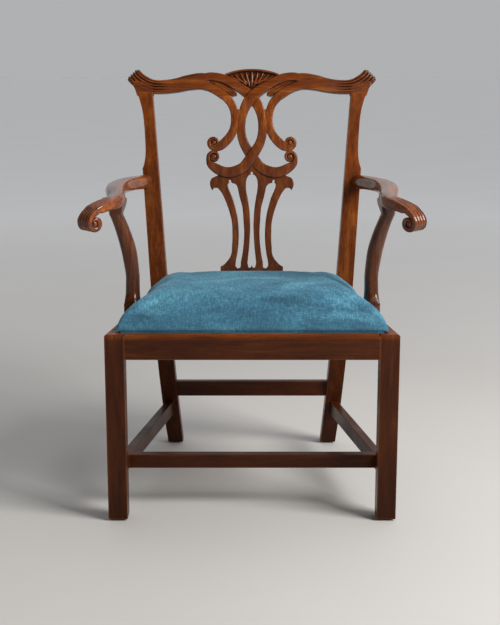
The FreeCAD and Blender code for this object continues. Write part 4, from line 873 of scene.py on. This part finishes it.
for name, side in SIDES:
    settle(new_piece("scrolled_arm_" + name, arm(side)), ARM_WOOD, "mahogany", FRAME_BODY, "arm_" + name)
    upper = new_piece("shaped_support_" + name, support(side))
    foot = lower_part("arm_support_" + name, 443.8 * MM)
    with bpy.context.temp_override(active_object=upper, object=upper, selected_objects=[upper, foot],
                                   selected_editable_objects=[upper, foot]):
        bpy.ops.object.join()
    settle(upper, SHADED_MAHOGANY, "mahogany", FRAME_BODY, "arm_support_" + name)

STRAIGHT = {
    "front_seat_rail": "across", "rear_seat_rail": "across", "cross_stretcher": "across", "rear_stretcher": "across",
    "front_leg_left": "upright", "front_leg_right": "upright", "back_post_left": "upright",
    "back_post_right": "upright", "splat_shoe": "across",
    "side_seat_rail_left": "left_side", "side_seat_rail_right": "right_side",
    "side_stretcher_left": "left_side", "side_stretcher_right": "right_side",
}
ROUNDED_TOPS = ("front_seat_rail", "side_seat_rail_left", "side_seat_rail_right", "front_leg_left", "front_leg_right")
for node, run in STRAIGHT.items():
    top_radius = 7 * MM if node in ROUNDED_TOPS else 0.0
    least = 0.1 if node == "front_seat_rail" else 0.005 if node.startswith("back_post") else 0.02
    copy = eased(node, 1.2 * MM, least, top_radius)
    settle(even_normals(copy), MAHOGANY_RUNS[run], "mahogany", FRAME_BODY, node)

for node, material in (("arm_screw_plugs", MAHOGANY_RUNS["across"]),
                       ("arm_screws", SCREW_STEEL), ("arm_support_screws", SCREW_STEEL),
                       ("foot_pads", FELT),
                       ("corner_brace_front_left", BEECH_RUNS["across"]),
                       ("corner_brace_front_right", BEECH_RUNS["across"]),
                       ("corner_block_rear_left", BEECH_RUNS["across"]),
                       ("corner_block_rear_right", BEECH_RUNS["across"]),
                       ("seat_frame_front", BEECH_RUNS["across"]), ("seat_frame_rear", BEECH_RUNS["across"]),
                       ("seat_frame_left", BEECH_RUNS["ahead"]), ("seat_frame_right", BEECH_RUNS["ahead"]),
                       ("cover_tacks", TACK_STEEL), ("webbing_tacks", TACK_STEEL)):
    paint(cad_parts[node], material)

# ---------------------------------------------------------------- the drop-in seat: pad, cover, hessian and webbing

COVER_LOW, COVER_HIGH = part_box("seat_cover")
HESSIAN_LOW, HESSIAN_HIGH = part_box("seat_hessian")
WEB_LOW, WEB_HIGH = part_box("seat_webbing")
PAD_BASE = HESSIAN_HIGH.z + 0.3 * MM
PAD_HEIGHT = 62.5 * MM
PAD_VOXEL = 5.5 * MM
PAD_CAP = 7 * MM
CORNER_BULGE = 17 * MM
SIDE_BULGE = 9 * MM
RAIL_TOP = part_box("front_seat_rail")[1].z
SUPPORT_FRONT, SUPPORT_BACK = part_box("arm_support_left")[0].y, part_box("arm_support_left")[1].y


def seat_half(y):
    """Half the seat's width over its cover, at a depth."""
    return COVER_HIGH.x - (y - COVER_LOW.y) * math.tan(SIDE_TURN)


def pad_half(y):
    """Half the pad's width: before and behind the arm supports it bulges over the rail."""
    before = 1 - ease(y, COVER_LOW.y + 60 * MM, SUPPORT_FRONT - 14 * MM)
    behind = ease(y, SUPPORT_BACK + 12 * MM, SUPPORT_BACK + 40 * MM) * (1 - ease(y, 105 * MM, 150 * MM))
    return seat_half(y) + CORNER_BULGE * before + SIDE_BULGE * behind


def steep(distance, reach, power, root):
    """0 at an edge, rising fast, then levelling off to 1 at its reach."""
    return (1 - (1 - min(1.0, max(0.0, distance) / reach)) ** power) ** root


def pad_top(x, y):
    """The height of the stuffed top: full at the back, rounded off to the front and sides."""
    front = steep(y - COVER_LOW.y, 250 * MM, 3.0, 0.72)
    rear = steep(COVER_HIGH.y - y, 101 * MM, 1.6, 0.8)
    root = 0.50 + 0.38 * (1 - ease(y, COVER_LOW.y + 60 * MM, SUPPORT_FRONT - 14 * MM))
    side = steep(pad_half(y) - abs(x), 201 * MM, 8.2, root)
    lack = sum((1 - part) ** 5 for part in (front, rear, side)) ** 0.2
    lumps = 0.5 * MM * noise.noise(Vector((x * 14, y * 14, 3.1)))
    return PAD_BASE + 3 * MM + PAD_HEIGHT * max(0.0, 1 - lack) + lumps * ease(1 - lack, 0.2, 0.9)


def pad_mesh():
    """A closed pad: the stuffed top over a flat base."""
    across, ahead = 72, 60
    shares = [0.5 - 0.5 * math.cos(math.pi * i / ahead) for i in range(ahead + 1)]
    rows = []
    for share in shares:
        y = COVER_LOW.y + 1.2 * MM + (COVER_HIGH.y - COVER_LOW.y - 2.4 * MM) * share
        half = pad_half(y) - 1.2 * MM
        rows.append([(-half * math.cos(math.pi * j / across), y) for j in range(across + 1)])
    top = [(x, y, pad_top(x, y)) for row in rows for x, y in row]
    base = [(x, y, PAD_BASE) for row in rows for x, y in row]
    wide = across + 1
    faces = []
    for i in range(ahead):
        for j in range(across):
            a = i * wide + j
            faces.append((a, a + 1, a + wide + 1, a + wide))
            faces.append(tuple(len(top) + v for v in (a, a + wide, a + wide + 1, a + 1)))
    rim = ([j for j in range(wide)] + [i * wide + across for i in range(1, ahead + 1)]
           + [ahead * wide + j for j in range(across - 1, -1, -1)] + [i * wide for i in range(ahead - 1, 0, -1)])
    for a, b in zip(rim, rim[1:] + rim[:1]):
        faces.append((a, len(top) + a, len(top) + b, b))
    mesh = bpy.data.meshes.new("pad")
    mesh.from_pydata(top + base, [], faces)
    return mesh


def swollen(piece):
    """Blows the pad up as cloth under pressure, its base held, and caps how far each point moves."""
    start = [v.co.copy() for v in piece.data.vertices]
    held = piece.vertex_groups.new(name="held")
    held.add([v.index for v in piece.data.vertices if v.co.z < PAD_BASE + 1.5 * MM], 1.0, "REPLACE")
    cloth = piece.modifiers.new("cloth", "CLOTH")
    cloth.settings.vertex_group_mass = "held"
    cloth.settings.use_pressure = True
    cloth.settings.uniform_pressure_force = 4.0
    cloth.settings.tension_stiffness = 30
    cloth.settings.compression_stiffness = 30
    cloth.settings.effector_weights.gravity = 0
    cloth.point_cache.frame_start = 1
    cloth.point_cache.frame_end = 20
    for number in range(1, 21):
        bpy.context.scene.frame_set(number)
    mesh = with_modifiers(piece)
    piece.modifiers.clear()
    bpy.context.scene.frame_set(1)
    for vertex, before in zip(mesh.vertices, start):
        move = vertex.co - before
        if move.length > PAD_CAP:
            vertex.co = before + move * (PAD_CAP / move.length)
    return mesh


def softened(mesh, times):
    """Smooths the pad above its base, so no ridge of the plan shows through the stuffing."""
    shape = bmesh.new()
    shape.from_mesh(mesh)
    upper = [v for v in shape.verts if v.co.z > PAD_BASE + 5 * MM]
    lower = [v for v in shape.verts if v.co.z <= PAD_BASE + 5 * MM]
    for _ in range(times):
        bmesh.ops.smooth_vert(shape, verts=upper, factor=0.5, use_axis_x=True, use_axis_y=True, use_axis_z=True)
        bmesh.ops.smooth_vert(shape, verts=lower, factor=0.5, use_axis_x=True, use_axis_y=False, use_axis_z=False)
    shape.to_mesh(mesh)
    shape.free()


def kept_inside(mesh):
    """Keeps the pad over its frame: the cover bulges over the rail only at the front corners."""
    for vertex in mesh.vertices:
        x, y, z = vertex.co
        high = ease(z - PAD_BASE, 1 * MM, 8 * MM)
        limit = pad_half(y) - 0.2 * MM
        if y < COVER_LOW.y + 8 * MM:
            y += (COVER_LOW.y - y) * (1 - ease(z - PAD_BASE, 3 * MM, 12 * MM))
        vertex.co.x = min(limit, max(-limit, x))
        vertex.co.y = min(COVER_HIGH.y - 0.3 * MM, max(COVER_LOW.y - 2.5 * MM * high, y))
        resting = ease(abs(x) - seat_half(y), 0.5 * MM, 4 * MM) * (1 - ease(z - PAD_BASE, 2 * MM, 12 * MM))
        vertex.co.z = max(PAD_BASE, z) - (PAD_BASE - RAIL_TOP - 0.3 * MM) * resting


def seat_plan(inset, corner=2.2 * MM):
    """The seat's outline drawn in by an inset, with rounded corners."""
    near, far = COVER_LOW.y + inset, COVER_HIGH.y - inset
    side = inset / math.cos(SIDE_TURN)
    corners = [Vector((seat_half(near) - side, near)), Vector((seat_half(far) - side, far)),
               Vector((side - seat_half(far), far)), Vector((side - seat_half(near), near))]
    outline = []
    for before, here, after in zip(corners[-1:] + corners[:-1], corners, corners[1:] + corners[:1]):
        start = here + (before - here).normalized() * corner
        end = here + (after - here).normalized() * corner
        for share in (0.0, 0.25, 0.5, 0.75, 1.0):
            outline.append(start * (1 - share) ** 2 + here * 2 * share * (1 - share) + end * share ** 2)
    return outline


def skirt():
    """The cover's edge: down the frame's sides and turned under it, as a thin closed band."""
    high, low = PAD_BASE + 2 * MM, COVER_LOW.z
    profile = [(9.0, high + 1.2 * MM), (1.4, high + 0.8 * MM), (0.3, high - 5 * MM), (0.1, low + 4 * MM), (0.9, low + 1.2 * MM), (2.4, low),
               (22.0, low), (22.6, low + 0.5 * MM), (22.0, low + 1.1 * MM), (2.9, low + 1.15 * MM),
               (1.35, low + 2.4 * MM), (1.35, high - 5 * MM), (2.4, high - 0.4 * MM), (9.0, high)]
    rings = [[(x, y, z) for x, y in seat_plan(inset * MM)] for inset, z in profile]
    around = len(rings[0])
    points = [p for ring in rings for p in ring]
    faces = []
    for i in range(len(rings)):
        for j in range(around):
            k, m = (i + 1) % len(rings), (j + 1) % around
            faces.append((i * around + j, i * around + m, k * around + m, k * around + j))
    return points, faces


def upholstery():
    pad = new_piece("upholstered_seat", pad_mesh())
    remesh = pad.modifiers.new("even", "REMESH")
    remesh.mode = "VOXEL"
    remesh.voxel_size = PAD_VOXEL
    pad.data = with_modifiers(pad)
    pad.modifiers.clear()
    softened(pad.data, 12)
    pad.data = swollen(pad)
    softened(pad.data, 4)
    kept_inside(pad.data)
    pad.data.shade_smooth()
    finer = pad.modifiers.new("finer", "SUBSURF")
    finer.levels = finer.render_levels = 1
    pad.data = with_modifiers(pad)
    pad.modifiers.clear()
    band = new_piece("cover_skirt", mesh_of("skirt", [skirt()], math.radians(60)))
    with bpy.context.temp_override(active_object=pad, object=pad, selected_objects=[pad, band],
                                   selected_editable_objects=[pad, band]):
        bpy.ops.object.join()
    settle(pad, VELVET, "seat_velvet", SEAT_BODY, "seat_cover", "seat_stuffing")


STRIP = 50 * MM
STRIP_THICK = 0.9 * MM
LONG_STRIPS = (-110 * MM, -36.5 * MM, 36.5 * MM, 110 * MM)
CROSS_SHARES = (0.17, 0.5, 0.83)


def webbing():
    """Jute strips from front to back, woven with strips from side to side."""
    near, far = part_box("seat_frame_front")[1].y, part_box("seat_frame_rear")[0].y
    cross_y = [near + (far - near) * share for share in CROSS_SHARES]
    middle = (WEB_LOW.z + WEB_HIGH.z) / 2
    wave = 0.58 * MM
    skins, length = [], 0.0
    for number, x in enumerate(LONG_STRIPS):
        turns = [(WEB_LOW.y, -1.0)] + [(y, (-1.0) ** (number + i)) for i, y in enumerate(cross_y)] + [(WEB_HIGH.y, -1.0)]
        rings = []
        for y in np.linspace(WEB_LOW.y, WEB_HIGH.y, 90):
            z = middle + wave * float(np.interp(y, [t for t, _ in turns], [v for _, v in turns]))
            rings.append([(x + a, y, z + b) for a, b in strip_section()])
        skins.append(skin(rings))
        length += WEB_HIGH.y - WEB_LOW.y
    for i, y in enumerate(cross_y):
        half = WEB_HIGH.x - (y - cross_y[0]) * math.tan(SIDE_TURN)
        turns = [(-half, 1.0)] + [(x, -(-1.0) ** (n + i)) for n, x in enumerate(LONG_STRIPS)] + [(half, 1.0)]
        rings = []
        for x in np.linspace(-half, half, 90):
            z = middle + wave * float(np.interp(x, [t for t, _ in turns], [v for _, v in turns]))
            rings.append([(x, y + a, z + b) for a, b in strip_section()])
        skins.append(skin(rings))
        length += 2 * half
    piece = new_piece("woven_webbing", mesh_of("webbing", skins))
    settle(piece, WEBBING, "webbing", SEAT_BODY, "seat_webbing")


def strip_section():
    half, thin = STRIP / 2, STRIP_THICK / 2
    return [(-half, -thin), (half, -thin), (half, thin), (-half, thin)]


def hessian():
    """The coarse cloth over the webbing, with a slightly frayed edge."""
    outline = []
    edge = seat_plan(COVER_HIGH.x - HESSIAN_HIGH.x, 6 * MM)
    for first, second in zip(edge, edge[1:] + edge[:1]):
        count = max(1, round((second - first).length / (7 * MM)))
        for i in range(count):
            place = first.lerp(second, i / count)
            fray = 0.9 * MM * noise.noise(Vector((place.x * 160, place.y * 160, 0.4)))
            outline.append(place * (1 - 0.6 * MM / place.length) + place.normalized() * fray)
    low, high = HESSIAN_LOW.z + 0.05 * MM, HESSIAN_HIGH.z
    piece = new_piece("hessian_cloth", mesh_of("hessian", [skin([[(x, y, low) for x, y in outline],
                                                                 [(x, y, high) for x, y in outline]])]))
    settle(piece, HESSIAN, "hessian", SEAT_BODY, "seat_hessian")


upholstery()
webbing()
hessian()

# ---------------------------------------------------------------- floor, light and camera


FLOOR_FADE = 0.1


def plain_floor():
    """A wide pale floor, a little lighter far from the chair."""
    mesh = bpy.data.meshes.new("floor")
    reach = 60.0
    mesh.from_pydata([(-reach, -reach, 0), (reach, -reach, 0), (reach, reach, 0), (-reach, reach, 0)],
                     [], [(0, 1, 2, 3)])
    floor = new_piece("floor", mesh)
    material, tree, shader = new_material("pale_floor")
    mottle = ramp(tree, cloud(tree, spot(tree), 1.5, 3.0), (0.3, (0.97, 0.97, 0.97)), (0.7, (1.0, 1.0, 1.0)))
    reach_out = add(tree, "ShaderNodeVectorMath", operation="LENGTH")
    link(tree, spot(tree, scale=(FLOOR_FADE, FLOOR_FADE, FLOOR_FADE)), reach_out.inputs[0])
    tone = ramp(tree, reach_out.outputs["Value"], (0.12, (0.590, 0.572, 0.550)), (0.5, (0.97, 0.97, 0.97)))
    link(tree, blend_colours(tree, tone, mottle, 1.0, "MULTIPLY"), shader.inputs["Base Color"])
    shader.inputs["Roughness"].default_value = 0.85
    paint(floor, material)


HORIZON = (0.433, 0.437, 0.443)
OVERHEAD = (0.86, 0.87, 0.89)
DARK_SIDE = 0.04


def soft_light(name, place, aim, size, power, colour):
    light = bpy.data.lights.new(name, "AREA")
    light.shape = "RECTANGLE"
    light.size, light.size_y = size
    light.energy = power
    light.color = colour
    lamp = bpy.data.objects.new(name, light)
    bpy.context.scene.collection.objects.link(lamp)
    lamp.location = place
    lamp.rotation_euler = (Vector(aim) - Vector(place)).to_track_quat("-Z", "Y").to_euler()


def studio():
    """A pale sky, brighter overhead, behind and on the right, and a window light from the right."""
    world = bpy.data.worlds.new("studio")
    world.use_nodes = True
    tree = world.node_tree
    where = add(tree, "ShaderNodeTexCoord")
    parts = add(tree, "ShaderNodeSeparateXYZ")
    link(tree, where.outputs["Generated"], parts.inputs[0])
    sky = ramp(tree, parts.outputs["Z"], (0.0, HORIZON), (0.12, HORIZON), (0.7, OVERHEAD))
    lit = arithmetic(tree, "ADD", arithmetic(tree, "MULTIPLY", parts.outputs["X"], 0.55),
                     arithmetic(tree, "MULTIPLY", parts.outputs["Y"], 0.83))
    side = add(tree, "ShaderNodeMapRange", interpolation_type="SMOOTHSTEP")
    side.inputs["From Min"].default_value = -0.7
    side.inputs["From Max"].default_value = 0.6
    side.inputs["To Min"].default_value = DARK_SIDE
    link(tree, lit, side.inputs["Value"])
    high = ramp(tree, parts.outputs["Z"], (0.12, 0.0), (0.30, 1.0))
    dimmed = arithmetic(tree, "MULTIPLY", arithmetic(tree, "SUBTRACT", 1.0, side.outputs[0]), high)
    sky = blend_colours(tree, sky, (0, 0, 0, 1), dimmed)
    background = tree.nodes["Background"]
    link(tree, sky, background.inputs["Color"])
    background.inputs["Strength"].default_value = 1.0
    bpy.context.scene.world = world
    bpy.context.scene.view_settings.view_transform = "Standard"
    soft_light("window", (2.4, -1.5, 2.2), (0, 0.05, 0.6), (1.4, 1.6), 130, (1.0, 0.985, 0.96))


def camera():
    view = bpy.data.cameras.new("camera")
    view.lens = 68.54
    view.sensor_width = 36
    holder = bpy.data.objects.new("camera", view)
    bpy.context.scene.collection.objects.link(holder)
    holder.location = (-0.0045, -2.706, 0.979)
    holder.rotation_euler = Euler((math.radians(90 - 12.07), 0, 0))
    bpy.context.scene.camera = holder


plain_floor()
studio()
camera()
